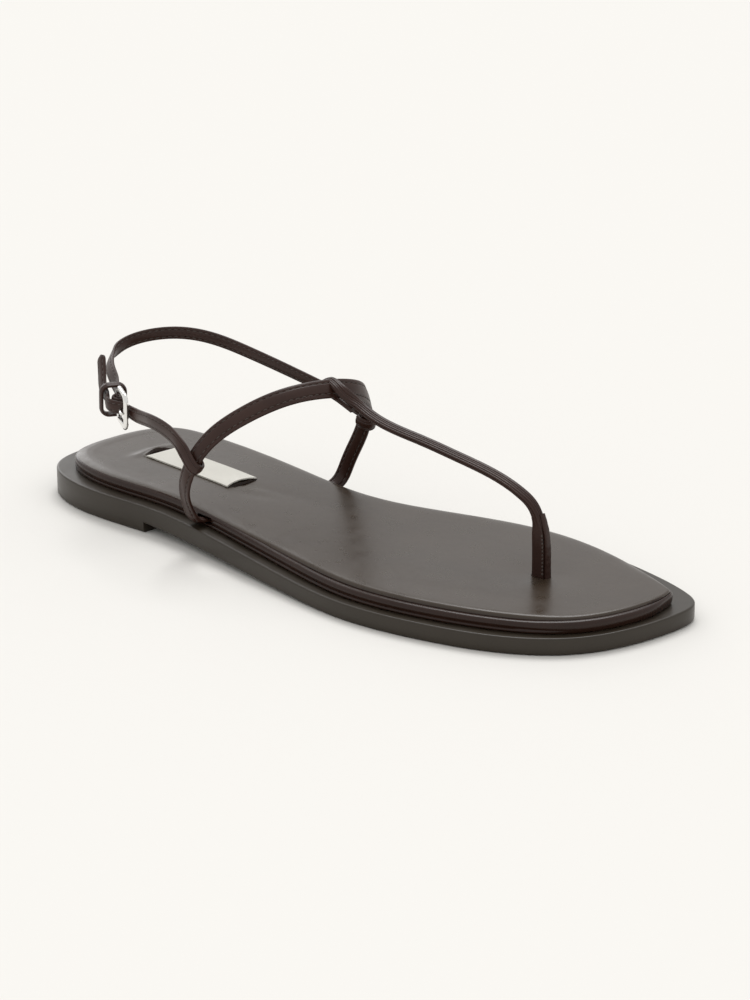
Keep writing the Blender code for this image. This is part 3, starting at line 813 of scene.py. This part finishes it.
def label_material():
    """Plain cream cloth with a fine weave."""
    material, tree, shader = node_tree("label_cloth")
    place = object_coordinates(tree)
    weave = add_node(tree, "ShaderNodeMath", operation="MAXIMUM")
    for socket, direction in enumerate("XY"):
        wave = add_node(tree, "ShaderNodeTexWave", {"Scale": 620.0, "Distortion": 0.6},
                        bands_direction=direction)
        tree.links.new(place, wave.inputs["Vector"])
        tree.links.new(wave.outputs["Fac"], weave.inputs[socket])
    colour = blended(tree, noise(tree, place, 120.0), *LABEL_COLOURS)
    roughness = spread(tree, weave.outputs[0], 0.85, 0.65, 0.0, 1.0)
    shader.inputs["Specular IOR Level"].default_value = 0.25
    shader.inputs["Sheen Weight"].default_value = 0.15
    wired(tree, shader, colour, roughness, [(weave.outputs[0], 0.25, MARK_DEPTH)])
    return material


def thread_and_highlight_material():
    """Dark brown sewing thread, coloured lighter than the straps as a painted highlight on the stitches."""
    material, tree, shader = node_tree("thread")
    twist = noise(tree, object_coordinates(tree), 3000.0, 2.0)
    colour = blended(tree, twist, *THREAD_AND_HIGHLIGHT_COLOURS)
    shader.inputs["Specular IOR Level"].default_value = 0.4
    wired(tree, shader, colour, spread(tree, twist, 0.5, 0.65), [(twist, 0.2, FINE_DEPTH)])
    return material


STRAP_LEATHER = leather("strap_leather", STRAP_COLOURS, rough=0.34, grain=0.0006, strength=0.20,
                        specular=0.30)
FOOTBED_LEATHER = leather("footbed_leather", FOOTBED_COLOURS, rough=0.30, grain=0.0008, strength=0.008,
                          specular=0.42)
# Darker leather that paints shade on the footbed's rolled edge and inside its cuts
SHADE_PAINTED_EDGE_LEATHER = leather("edge_leather_painted_shade", EDGE_SHADE_COLOURS, rough=0.24, grain=0.0007, strength=0.10,
                       specular=0.28)
SOLE = sole_material()
METAL = metal_material()
LABEL = label_material()
THREAD_WITH_PAINTED_HIGHLIGHT = thread_and_highlight_material()


# Sole

def heel_share(x):
    """1 at the heel, easing to 0 at the ball."""
    return 1.0 - rising(x, BREAST_X, BALL_X - BREAST_X)


def toe_share(x):
    """0 up to the start of the toe spring, growing to 1 at the tip."""
    return (np.clip(x - SPRING_START_X, 0.0, None) / (SOLE_LENGTH - SPRING_START_X)) ** 2


def sole_under(x):
    """Height of the forepart's underside."""
    share = np.clip((BALL_X - x) / (BALL_X - BREAST_X), 0.0, 1.0)
    return WAIST_LIFT * share ** WAIST_POWER + TOE_SPRING * toe_share(x)


def sole_top(x):
    """Height of the ledge that carries the footbed."""
    return OUTSOLE_THICKNESS + HEEL_RISE * heel_share(x) + TOE_SPRING * toe_share(x)


def edge_ring(on_footbed):
    """Edge of the outsole or footbed: the lateral side from heel to toe, then the medial side back.

    Each side has the same number of rows, with two at the heel breast.
    """
    table = np.asarray(OUTLINE)
    points = table[:, :2]
    along = unit(np.roll(points, -1, axis=0) - np.roll(points, 1, axis=0))
    inward = np.stack([-along[:, 1], along[:, 0]], axis=1)
    ledge = table[:, 2:] if on_footbed else 0.0
    line = spline(points + inward * ledge, closed=True, density=OUTLINE_DENSITY)[:-1]
    line = np.roll(line, -int(np.argmin(line[:, 0])), axis=0)
    toe = int(np.argmax(line[:, 0]))
    sides = []
    for side in (line[:toe + 1], np.vstack([line[toe:], line[:1]])[::-1]):
        after = int(np.argmax(side[:, 0] > BREAST_X))
        share = (BREAST_X - side[after - 1, 0]) / (side[after, 0] - side[after - 1, 0])
        breast = side[after - 1] + share * (side[after] - side[after - 1])
        rear = resample(np.vstack([side[:after], breast]), REAR_ROWS)
        front = resample(np.vstack([breast, side[after:]]), FRONT_ROWS)
        sides.append(np.vstack([rear, front]))
    return sides


def closed_ring(sides):
    """Both sides of an edge as one closed line."""
    return np.vstack([sides[0][:-1], sides[1][:0:-1]])


def inset_sides(sides, inset):
    """Both sides of an edge moved inwards."""
    ring = closed_ring(sides)
    gap = np.roll(ring, -1, axis=0) - np.roll(ring, 1, axis=0)
    length = np.maximum(np.linalg.norm(gap, axis=1, keepdims=True), TINY)
    inward = smoothed(np.stack([-gap[:, 1], gap[:, 0]], axis=1) / length, EDGE_SMOOTHING, closed=True)
    moved = ring + unit(inward) * np.reshape(inset, (-1, 1))
    rows = len(sides[0])
    return moved[:rows], np.vstack([moved[:1], moved[:rows - 2:-1]])


def stacked(levels, columns, shape_cap):
    """Closed body from levels of two sides with heights, capped by rows from side to side."""
    rows = len(levels[0][0][0])
    size = 2 * rows
    verts = []
    for (lateral, medial), (low, high) in levels:
        verts.extend(np.column_stack([lateral, low]))
        verts.extend(np.column_stack([medial[::-1], high[::-1]]))
    faces = grid_faces(len(levels), size)
    share = np.linspace(0.0, 1.0, columns + 1)[1:-1, None]
    for level in (0, len(levels) - 1):
        (lateral, medial), (low, high) = levels[level]
        near = np.column_stack([lateral, low])[:, None, :]
        far = np.column_stack([medial, high])[:, None, :]
        cap = (near * (1.0 - share) + far * share).reshape(-1, 3)
        index = np.empty((rows, columns + 1), int)
        index[:, 0] = level * size + np.arange(rows)
        index[:, -1] = (level + 1) * size - 1 - np.arange(rows)
        index[:, 1:-1] = len(verts) + np.arange(len(cap)).reshape(rows, -1)
        verts.extend(shape_cap(cap) if level else cap)
        corners = (index[:-1, :-1], index[1:, :-1], index[1:, 1:], index[:-1, 1:])
        faces += zip(*(corner.ravel().tolist() for corner in corners))
    return verts, faces


def make_outsole():
    """Outsole with its low heel, rounded along its upper and lower edges."""
    sides = edge_ring(False)
    front = np.arange(REAR_ROWS + FRONT_ROWS + 2) > REAR_ROWS
    levels = []
    for inset, rise in OUTSOLE_FOOT:
        edges = inset_sides(sides, inset)
        levels.append((edges, [np.where(front, sole_under(edge[:, 0]), 0.0) + rise for edge in edges]))
    for inset, drop in OUTSOLE_BROW:
        edges = inset_sides(sides, inset)
        levels.append((edges, [sole_top(edge[:, 0]) - drop for edge in edges]))
    shape = stacked(levels, UNDER_COLUMNS, lambda cap: cap)
    item = make_piece("outsole_finish", shape, SOLE, sharp_deg=50.0)
    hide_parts("outsole")


def footbed_relief(points):
    """Height added to the footbed's top by its hollows and creases."""
    rise = np.zeros(len(points))
    for x, y, long, wide, turn_deg, depth in HOLLOWS:
        turn = math.radians(turn_deg)
        dx, dy = points[:, 0] - x, points[:, 1] - y
        a = (dx * math.cos(turn) + dy * math.sin(turn)) / long
        b = (dy * math.cos(turn) - dx * math.sin(turn)) / wide
        rise -= depth * np.exp(-(a * a + b * b))
    return rise


def footbed_top(x):
    """Height of the footbed's top away from its edge."""
    return sole_top(x) + GAP + FOOTBED_THICKNESS * toe_pad(x)


def toe_pad(x):
    """Thickness of the footbed as a share of that at its middle, changing towards the toe."""
    return 1.0 + TOE_PAD * toe_share(x)


def crease_share(points):
    """0 at the soft edge of the heel and the inner side, easing to 1 at the forefoot's rolled edge."""
    outer = 1.0 - rising(points[:, 1], *CREASE_END_SPAN)
    return outer * rising(points[:, 0], *CREASE_SPAN)


def roll_pinch(points):
    """1 along the edge, less at the inner corner of the toe, where the roll gets narrow."""
    corner = rising(points[:, 1], *PINCH_SPAN)
    return 1.0 - ROLL_PINCH * corner * rising(points[:, 0], *TOE_SPAN)


def footbed_levels():
    """Levels of the footbed's edge, each with its two sides and their heights."""
    sides = edge_ring(True)
    ring = closed_ring(sides)

    def mixed(points, low, fore, toe, heel):
        roll = crease_share(points)
        tip = rising(points[:, 0], *TOE_SPAN)
        front = (1.0 - tip) * fore + tip * toe
        rear = (1.0 - tip) * heel + tip * toe if low else heel
        return roll * front + (1.0 - roll) * rear

    levels = []
    for row, (fore_in, fore_up, toe_in, toe_up, heel_in, heel_up) in enumerate(FOOTBED_EDGE):
        low = row < ROLL_ROW
        inset = mixed(ring, low, fore_in, toe_in, heel_in)
        if not low:
            inset = inset * roll_pinch(ring)
        edges = inset_sides(sides, inset)
        heights = []
        for edge, side in zip(edges, sides):
            rise = mixed(side, low, fore_up, toe_up, heel_up) * toe_pad(edge[:, 0])
            heights.append(sole_top(edge[:, 0]) + GAP + rise)
        levels.append((edges, heights))
    return levels


def make_footbed():
    """Padded footbed with a lip, a groove and a rolled edge, cut for the straps and the label."""
    levels = footbed_levels()
    rim = np.vstack(levels[-1][0])

    def padded(cap):
        cap = cap.copy()
        near = np.empty(len(cap))
        for start in range(0, len(cap), POINT_BLOCK):
            block = cap[start:start + POINT_BLOCK, None, :2] - rim[None, :, :]
            near[start:start + POINT_BLOCK] = np.sqrt(np.min(np.sum(block ** 2, axis=2), axis=1))
        rise = footbed_top(cap[:, 0]) - cap[:, 2]
        relief = smooth_step(near / RELIEF_REACH) * footbed_relief(cap)
        cap[:, 2] += rise * smooth_step(near / PAD_REACH) + relief
        return cap

    shape = stacked(levels, TOP_COLUMNS, padded)
    item = make_piece("footbed_finish", shape, FOOTBED_LEATHER, sharp_deg=60.0)
    # Second material: the darker leather that paints shade on the rolled edge
    item.data.materials.append(SHADE_PAINTED_EDGE_LEATHER)
    paint_edge_shade(item, levels[CREASE_ROW])
    # The cut faces of the post hole, the notches and the label slits take the darker edge leather, as
    # painted shade inside the cuts
    cutter = make_mesh("footbed_cutter", joined(footbed_cutters()))
    for material in (FOOTBED_LEATHER, SHADE_PAINTED_EDGE_LEATHER):
        cutter.data.materials.append(material)
    cutter.data.polygons.foreach_set("material_index", np.ones(len(cutter.data.polygons), np.int32))
    cut(item, cutter)
    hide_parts("footbed")


def paint_edge_shade(item, level):
    """Paint shade on the rolled edge: the faces outside a level take the darker leather, as painted shade
    for its wall and crease.
    """
    edges, heights = level
    ring = np.vstack([to_scene(np.column_stack([edge, height])) for edge, height in zip(edges, heights)])
    mesh = item.data
    centres = np.empty(3 * len(mesh.polygons))
    mesh.polygons.foreach_get("center", centres)
    inside = inside_ring(centres.reshape(-1, 3)[:, :2], ring[:, :2])
    mesh.polygons.foreach_set("material_index", np.where(inside, 0, 1).astype(np.int32))


def inside_ring(points, ring):
    """True for the points inside an outline given as its lateral and its medial side."""
    half = len(ring) // 2
    lateral, medial = ring[:half], ring[half:]
    low = np.interp(points[:, 0], lateral[:, 0], lateral[:, 1])
    high = np.interp(points[:, 0], medial[:, 0], medial[:, 1])
    within = (points[:, 0] > lateral[0, 0]) & (points[:, 0] < lateral[-1, 0])
    return within & (points[:, 1] > low) & (points[:, 1] < high)


def cut(item, cutter):
    """Take a cutter out of a piece for good."""
    modifier = item.modifiers.new("cut", "BOOLEAN")
    modifier.operation = "DIFFERENCE"
    modifier.solver = "EXACT"
    modifier.object = cutter
    evaluated = item.evaluated_get(bpy.context.evaluated_depsgraph_get())
    mesh = bpy.data.meshes.new_from_object(evaluated)
    item.modifiers.clear()
    item.data = mesh
    bpy.data.objects.remove(cutter, do_unlink=True)


def label_frame(rows):
    """Points on the footbed given along the label, across it and above the footbed's top."""
    turn = math.radians(LABEL_TURN_DEG)
    rows = np.asarray(rows, float)
    x = LABEL_CENTRE[0] + rows[:, 0] * math.cos(turn) - rows[:, 1] * math.sin(turn)
    y = LABEL_CENTRE[1] + rows[:, 0] * math.sin(turn) + rows[:, 1] * math.cos(turn)
    lie = footbed_relief(np.column_stack([x, y]))
    return np.column_stack([x, y, footbed_top(x) + lie * (rows[:, 2] < SLIT_TOP) + rows[:, 2]])


def crescent(end, bulge, width, depth):
    """Vertices and faces of a curved slit at one end of the label."""
    half = 0.5 * LABEL_SIZE[1] + SLIT_MARGIN
    rows = []
    for b in np.linspace(-half, half, SLIT_ROWS):
        share = 1.0 - (b / half) ** 2
        middle = end * (0.5 * LABEL_SIZE[0] + bulge * share)
        reach = SLIT_TIP + 0.5 * width * share
        corners = ((-reach, -depth), (reach, -depth), (reach, SLIT_TOP), (-reach, SLIT_TOP))
        rows.append(label_frame([(middle + a, b, c) for a, c in corners]))
    return np.vstack(rows), capped_faces(len(rows), 4)


def footbed_cutters():
    """Hole for the toe post, notches for the instep strap's ends and slits for the label."""
    ledge = float(sole_top(POST_FOOT[0]))
    hole = [(*POST_FOOT, ledge + height) for height in HOLE_HEIGHTS]
    cutters = [swept(hole, HOLE_EASE * post_profile(), TOE_FACING)]
    for (x, y, _), side in ((INSTEP_ROUTE[0], -1.0), (INSTEP_ROUTE[-1], 1.0)):
        height = float(sole_top(x)) + GAP + NOTCH_HEIGHT
        line = [(x + NOTCH_SHIFT, y + side * reach, height) for reach in (-NOTCH_INNER, NOTCH_OUTER)]
        cutters.append(swept(line, NOTCH_SECTION, UP))
    return cutters + [crescent(*slit) for slit in SLITS]


def make_label():
    """Plain cream strip on the footbed, tucked into the rear slit, its front end arched over the other."""
    half = 0.5 * LABEL_SIZE[0]
    rise = LABEL_REST + 0.5 * LABEL_THICKNESS
    tucked = [(-half - back, 0.0, height) for back, height in LABEL_TUCK]
    flat = [a - half for a in LABEL_REAR] + [a * half for a in LABEL_MIDDLE]
    flat += [half - a for a in LABEL_FRONT]
    path = evenly(spline(tucked + [(a, 0.0, rise) for a in flat]), LABEL_STEP)
    wide, tall = 0.5 * LABEL_SIZE[1], 0.5 * LABEL_THICKNESS
    over = np.linspace(-wide, wide, LABEL_COLUMNS)
    across = np.concatenate([over, over[::-1]])
    height = np.repeat((tall, -tall), LABEL_COLUMNS)
    crown = 1.0 - (across / wide) ** 2
    _, _, out = frames(path, UP)
    rows = []
    for point, up in zip(path, out):
        arch = LABEL_ARCH * rising(point[0], half - LABEL_ARCH_LENGTH, LABEL_ARCH_LENGTH) * crown
        bow = LABEL_BOW * rising(point[0], half - LABEL_BOW_LENGTH, LABEL_BOW_LENGTH) * crown
        along = point[0] + up[0] * height - bow
        rows.append(label_frame(np.column_stack([along, across, point[2] + up[2] * height + arch])))
    shape = (np.vstack(rows), capped_faces(len(rows), len(across)))
    item = make_piece("label_finish", shape, LABEL)
    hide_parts("footbed_label")


# Straps

def face_from_instep(line):
    """Outer face of the instep strap: out at the sides, up and forward over the foot."""
    stations, directions = zip(*INSTEP_FACING)
    return smoothed(between(np.linspace(0.0, 1.0, len(line)), stations, directions), INSTEP_SMOOTHING)


def face_from_ankle(line):
    """Outer face of the ankle strap: level, away from the middle of the heel."""
    return unit((line - np.asarray(ANKLE_AXIS)) * np.asarray((1.0, HEEL_SLENDERNESS, 0.0)))


def post_profile():
    """Section of the toe post's sleeve: soft rectangle, longer from heel to toe than across."""
    return oblong(POST_SECTION, POST_SQUARENESS, POST_POINTS)


def post_line():
    """Middle of the toe post from the ledge up to the top of its sleeve."""
    foot = (*POST_FOOT, float(sole_top(POST_FOOT[0])) + GAP)
    line = evenly(spline([foot] + TOE_ROUTE[:POST_ROUTE_POINTS]), POST_STEP)
    return line[line[:, 2] < POST_TOP_Z]


def make_toe_post():
    """Leather sleeve of the toe post: its front flap meets the side at an open, stitched corner seam."""
    line = post_line()
    profile = post_profile()
    half = 0.5 * np.asarray(POST_SECTION)
    ahead, across, out = frames(line, TOE_FACING)
    rows = len(line)
    lateral, front = (profile / half).T
    seam_gap = np.sum((profile - SEAM_PLACE * half) ** 2, axis=1)
    flap = rising(front, *FLAP_FRONT_SPAN) * falling(lateral, *FLAP_SIDE_SPAN)
    verts = []
    for i, point in enumerate(line):
        share = i / (rows - 1.0)
        mouth = rising(share, *MOUTH_SPAN)
        slant = mouth * (MOUTH_SLANT[0] + MOUTH_SLANT[1] * lateral ** 2)
        seam = np.exp(-seam_gap / (SEAM_SPREAD[0] + SEAM_SPREAD[1] * mouth))
        groove = (SEAM_DEPTH[0] + SEAM_DEPTH[1] * mouth) * seam
        ripple = RIPPLE_HEIGHT * math.sin(i * RIPPLE_TURN) * flap
        flare = POST_FLARE * (1.0 - rising(share, *POST_FLARE_SPAN))
        neck = POST_NECK * rising(share, *POST_NECK_SPAN)
        sized = profile * (1.0 + flare - neck)
        sized[:, 1] *= 1.0 - mouth * np.where(front < 0.0, *MOUTH_TAPER) * np.abs(front)
        sized = sized - unit(profile) * (groove - FLAP_RISE * flap - ripple)[:, None]
        ring = point + across[i] * sized[:, :1] + out[i] * sized[:, 1:]
        verts.extend(ring - ahead[i] * slant[:, None])
    shape = (verts, capped_faces(rows, len(profile)))
    item = make_piece("toe_post_sleeve", shape, STRAP_LEATHER, sharp_deg=45.0)
    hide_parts("upper")
    span = slice(POST_STITCH_FIRST, int(POST_STITCH_END * rows))
    run = line[span] + (half[1] - POST_STITCH_INSET) * out[span]
    lift = half[0] + POST_STITCH_LIFT
    stitches = stitch_row(run, across[span], 0.0, lift, POST_MARGINS, POST_PITCH, POST_RADIUS)
    make_piece("toe_post_stitches", stitches, THREAD_WITH_PAINTED_HIGHLIGHT)


def make_toe_strap():
    """Ridged T-strap from the toe post to the knot, looped round the instep strap and sewn under itself."""
    line = evenly(spline(TOE_ROUTE[1:] + KNOT_WRAP), FINE_STEP)
    reached = np.maximum.accumulate(falling(line[:, 0], *KNOT_SPAN))
    around = unit(line - np.asarray(KNOT_CENTRE))
    facing = (1.0 - reached[:, None]) * np.asarray(TOE_FACING) + reached[:, None] * around
    free = rising(np.arange(len(line)) * FINE_STEP, *ROOT_SPAN)
    wide = ROOT_WIDTH + (1.0 - ROOT_WIDTH) * free - KNOT_NARROWING * reached
    thick = ROOT_THICKNESS + (1.0 - ROOT_THICKNESS) * free - KNOT_THINNING * reached
    scale = np.stack([wide, thick], axis=1)
    shape = swept(line, ridged_profile(), smoothed(facing, KNOT_SMOOTHING), scale=scale)
    item = make_piece("toe_strap", shape, STRAP_LEATHER, sharp_deg=80.0)
    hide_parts("upper")


def sewn_strap(names, line, facing, section, finish, scale, margins):
    """A strap with grooved edges, and its stitches in the grooves of both faces."""
    crown, groove, groove_at, depth = finish
    shape = swept(line, strap_profile(section, crown, groove, groove_at), facing, scale=scale)
    item = make_piece(names[0], shape, STRAP_LEATHER, sharp_deg=60.0)
    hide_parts("upper")
    aside = groove_at * (0.5 * section[0] - 0.5 * section[1] + crown) * scale[:, 0]
    lift = 0.5 * section[1] - depth
    rows = []
    for face in (facing, -facing):
        rows += [stitch_row(line, face, side * aside, lift, margins) for side in (-1.0, 1.0)]
    make_piece(names[1], joined(rows), THREAD_WITH_PAINTED_HIGHLIGHT)


def instep_line():
    """Middle of the instep strap, from its lateral to its medial end."""
    return evenly(spline(INSTEP_ROUTE), FINE_STEP)


def make_instep_strap():
    """Instep strap, wider over the foot, with a groove and a row of stitches along each edge."""
    line = instep_line()
    share = np.linspace(0.0, 1.0, len(line))
    swell = plateau(share, *INSTEP_SWELL_SPAN)
    scale = np.stack([1.0 + INSTEP_SWELL * swell, np.ones(len(line))], axis=1)
    sewn_strap(("instep_strap", "instep_stitches"), line, face_from_instep(line), INSTEP_SECTION,
               INSTEP_FINISH, scale, INSTEP_MARGINS)


def loop_rows(height, medial, run):
    """Rows of a strap end that wraps the instep strap at a height, and the middle of the wrap.

    The end goes over the instep strap, round its front and back inside.
    """
    line = instep_line()
    _, _, out = frames(line, face_from_instep(line))
    middle = len(line) // 2
    half = slice(middle, None) if medial else slice(0, middle)
    nearest = int(np.argmin(np.abs(line[half, 2] - height))) + half.start
    centre, normal = line[nearest], out[nearest]
    forward = np.asarray(run)
    forward = unit(forward - normal * np.dot(forward, normal))
    lift = 0.5 * INSTEP_SECTION[1] + 0.5 * ANKLE_SECTION[1] + LOOP_GAP
    reach = 0.5 * INSTEP_SECTION[0] + LOOP_EASE
    return [tuple(centre + forward * reach * a + normal * lift * b) for a, b in LOOP_WRAP], centre


def buckle_axes():
    """Unit directions of the buckle: along the strap, across it and outwards."""
    turn = math.radians(BUCKLE_TURN_DEG)
    tilt = math.radians(BUCKLE_TILT_DEG)
    along = np.array([math.cos(turn) * math.cos(tilt), math.sin(turn) * math.cos(tilt), -math.sin(tilt)])
    across = unit(np.asarray(UP) - along * np.dot(UP, along))
    return along, across, np.cross(along, across)


def in_buckle(rows):
    """Points given along, across and out of the buckle, measured from its rear bar."""
    along, across, out = buckle_axes()
    rear = np.asarray(BUCKLE_CENTRE) - along * 0.5 * BUCKLE_LENGTH
    return [tuple(rear + along * a + across * b + out * c) for a, b, c in rows]


def arc_rows(radius, start_deg, end_deg):
    """Rows on an arc round the rear bar, from the inner side over the front to the outer side."""
    turns = np.radians(np.linspace(start_deg, end_deg, ARC_POINTS))
    return [(radius * math.cos(t), 0.0, radius * math.sin(t)) for t in turns]


def facing_round(line, centre, base, reach):
    """Facing directions that change from a base field to away from a centre within a reach of it."""
    gap = line - np.asarray(centre)
    near = 1.0 - rising(np.linalg.norm(gap, axis=1), NEAR_SHARE * reach, (1.0 - NEAR_SHARE) * reach)
    return smoothed((1.0 - near[:, None]) * unit(base) + near[:, None] * unit(gap), LOOP_SMOOTHING)


def make_ankle_strap():
    """Ankle strap from the medial loop round the heel to its fold round the buckle's rear bar."""
    wrap, centre = loop_rows(MEDIAL_LOOP_Z, True, MEDIAL_LOOP_RUN)
    route = [(-FOLD_STRAIGHT, 0.0, -FOLD_RADIUS), (-FOLD_STRAIGHT / 2.0, 0.0, -FOLD_RADIUS)]
    route += arc_rows(FOLD_RADIUS, -90.0, 90.0)
    route += [(-FOLD_STUB / 2.0, 0.0, FOLD_RADIUS - STUB_DROP)]
    route += [(-FOLD_STUB, 0.0, STUB_DROP - FOLD_RADIUS / 2.0)]
    line = evenly(spline(wrap[::-1] + ANKLE_ROUTE + in_buckle(route)), FINE_STEP)
    lean = falling(line[:, 1], *LEAN_SIDE_SPAN) * falling(line[:, 0], *LEAN_SPAN)
    base = face_from_ankle(line) + ANKLE_LEAN * lean[:, None] * np.asarray(UP)
    facing = facing_round(line, centre, base, LOOP_REACH)
    facing = -facing_round(line, in_buckle([(0.0, 0.0, 0.0)])[0], -facing, FOLD_REACH)
    sewn_strap(("ankle_strap", "ankle_strap_stitches"), line, facing, ANKLE_SECTION, ANKLE_FINISH,
               np.ones((len(line), 2)), ANKLE_MARGINS)


def make_lateral_strap():
    """Short strap from the lateral loop through the buckle, with its free end left standing."""
    wrap, centre = loop_rows(LATERAL_LOOP_Z, False, LATERAL_LOOP_RUN)
    over = FOLD_RADIUS + ANKLE_SECTION[1] + GAP + LAYER_GAP
    through = [
        (BUCKLE_LENGTH, 0.0, -FOLD_RADIUS - LAYER_GAP),
        (BUCKLE_LENGTH * CROSSING_START, 0.0, LAYER_GAP),
        (CROSSING[0], 0.0, over * CROSSING[1]),
        (0.0, 0.0, over),
        (-KEEPER_BACK / 2.0, 0.0, over - KEEPER_SINK[0]),
        (-KEEPER_BACK, 0.0, over - KEEPER_SINK[1]),
    ]
    line = evenly(spline(wrap[::-1] + LATERAL_STRAP_ROUTE + in_buckle(through) + TIP_ROUTE), FINE_STEP)
    loose = falling(line[:, 0], *TIP_SPAN)[:, None]
    base = (1.0 - loose) * face_from_ankle(line) + loose * np.asarray(TIP_FACING)
    facing = facing_round(line, centre, base, LOOP_REACH)
    scale = round_end(line, 0.5 * ANKLE_SECTION[0])
    scale[:, 0] *= 1.0 + LATERAL_SWELL * plateau(line[:, 0], *LATERAL_SWELL_SPAN)
    sewn_strap(("lateral_strap", "lateral_strap_stitches"), line, facing, ANKLE_SECTION, ANKLE_FINISH,
               scale, LATERAL_MARGINS)


# Buckle

def rounded_loop(half_a, half_b, corner):
    """Closed rounded rectangle as pairs, anticlockwise."""
    pairs = []
    for quarter, (sa, sb) in enumerate(((1, 1), (-1, 1), (-1, -1), (1, -1))):
        for step in range(CORNER_STEPS + 1):
            turn = math.radians(90.0 * (quarter + step / CORNER_STEPS))
            pairs.append((sa * (half_a - corner) + corner * math.cos(turn),
                          sb * (half_b - corner) + corner * math.sin(turn)))
    return pairs


def closed_evenly(points, step):
    """Points about one step apart round a closed line, without the repeated end."""
    points = np.asarray(points, float)
    return evenly(np.vstack([points, points[:1]]), step)[:-1]


def make_buckle_frame():
    """Polished wire frame of the buckle."""
    pairs = rounded_loop(0.5 * BUCKLE_LENGTH, 0.5 * BUCKLE_HEIGHT, BUCKLE_CORNER)
    line = closed_evenly(in_buckle([(a + 0.5 * BUCKLE_LENGTH, b, 0.0) for a, b in pairs]), FRAME_STEP)
    shape = swept(line, oblong(FRAME_SECTION, 1.0, WIRE_POINTS), buckle_axes()[2], closed=True)
    item = make_piece("buckle_frame_finish", shape, METAL)
    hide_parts("buckle_frame")


def make_prong():
    """Pin of the buckle, with its eye round the rear bar."""
    radius = 0.5 * BUCKLE_WIRE + GAP + 0.5 * PRONG_WIRE
    rows = arc_rows(radius, *PRONG_EYE_DEG)
    rows += [(2.0 * radius, 0.0, PRONG_DIP * radius)]
    rows += [(BUCKLE_LENGTH - PRONG_SHOULDER[0], 0.0, radius - PRONG_SHOULDER[1])]
    rows += [(BUCKLE_LENGTH + PRONG_OVERHANG, 0.0, radius)]
    line = evenly(spline(in_buckle(rows)), PRONG_STEP)
    profile = oblong((PRONG_WIRE, PRONG_WIRE), 1.0, WIRE_POINTS)
    shape = swept(line, profile, buckle_axes()[1], scale=round_end(line, 0.5 * PRONG_WIRE))
    item = make_piece("buckle_prong_finish", shape, METAL)
    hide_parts("buckle_prong")


def make_keeper():
    """Leather keeper behind the buckle."""
    middle = np.array((-KEEPER_BACK, *KEEPER_SHIFT))
    pairs = rounded_loop(*KEEPER_HALF, KEEPER_CORNER)
    line = closed_evenly(in_buckle([middle + (0.0, b, c) for b, c in pairs]), KEEPER_STEP)
    facing = line - np.asarray(in_buckle([middle])[0])
    shape = swept(line, strap_profile(KEEPER_BAND, *KEEPER_FINISH), facing, closed=True)
    item = make_piece("keeper_finish", shape, STRAP_LEATHER, sharp_deg=60.0)
    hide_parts("keeper_loop")


# Stage

def make_floor():
    """Pale floor under the shoe."""
    mesh = bpy.data.meshes.new("floor")
    corners = [(x * FLOOR_HALF, y * FLOOR_HALF, 0.0) for x, y in ((-1, -1), (1, -1), (1, 1), (-1, 1))]
    mesh.from_pydata(corners, [], [(0, 1, 2, 3)])
    floor = add_object("floor", mesh)
    material, _, shader = node_tree("floor")
    shader.inputs["Base Color"].default_value = FLOOR_COLOUR
    shader.inputs["Roughness"].default_value = 0.9
    shader.inputs["Specular IOR Level"].default_value = 0.0
    mesh.materials.append(material)


def aimed(name, data, place, target):
    """A light or camera at a place, turned to a target."""
    item = add_object(name, data)
    item.location = place
    item.rotation_mode = "QUATERNION"
    item.rotation_quaternion = (Vector(target) - Vector(place)).to_track_quat("-Z", "Y")
    return item


def make_lights():
    """Soft studio light: a bright world and two wide lights."""
    world = bpy.data.worlds.new("studio")
    world.use_nodes = True
    background = world.node_tree.nodes["Background"]
    background.inputs["Color"].default_value = WORLD_COLOUR
    background.inputs["Strength"].default_value = WORLD_STRENGTH
    bpy.context.scene.world = world
    for name, place, spread_deg, strength in STUDIO_LIGHTS:
        light = bpy.data.lights.new(name, "SUN")
        light.angle = math.radians(spread_deg)
        light.energy = strength
        aimed(name, light, place, (0.0, 0.0, 0.0))


def make_camera():
    """Camera at the photo's station point."""
    scene = bpy.context.scene
    camera = bpy.data.cameras.new("camera")
    camera.sensor_width = SENSOR_MM
    camera.lens = ZOOM * PHOTO_FOCAL_PX / FRAME_HEIGHT_PX * SENSOR_MM
    scene.camera = aimed("camera", camera, CAMERA_PLACE, CAMERA_AIM)
    scene.view_settings.view_transform = "Standard"


make_outsole()
make_footbed()
make_label()
make_toe_post()
make_toe_strap()
make_instep_strap()
make_ankle_strap()
make_lateral_strap()
make_buckle_frame()
make_prong()
make_keeper()
make_floor()
make_lights()
make_camera()
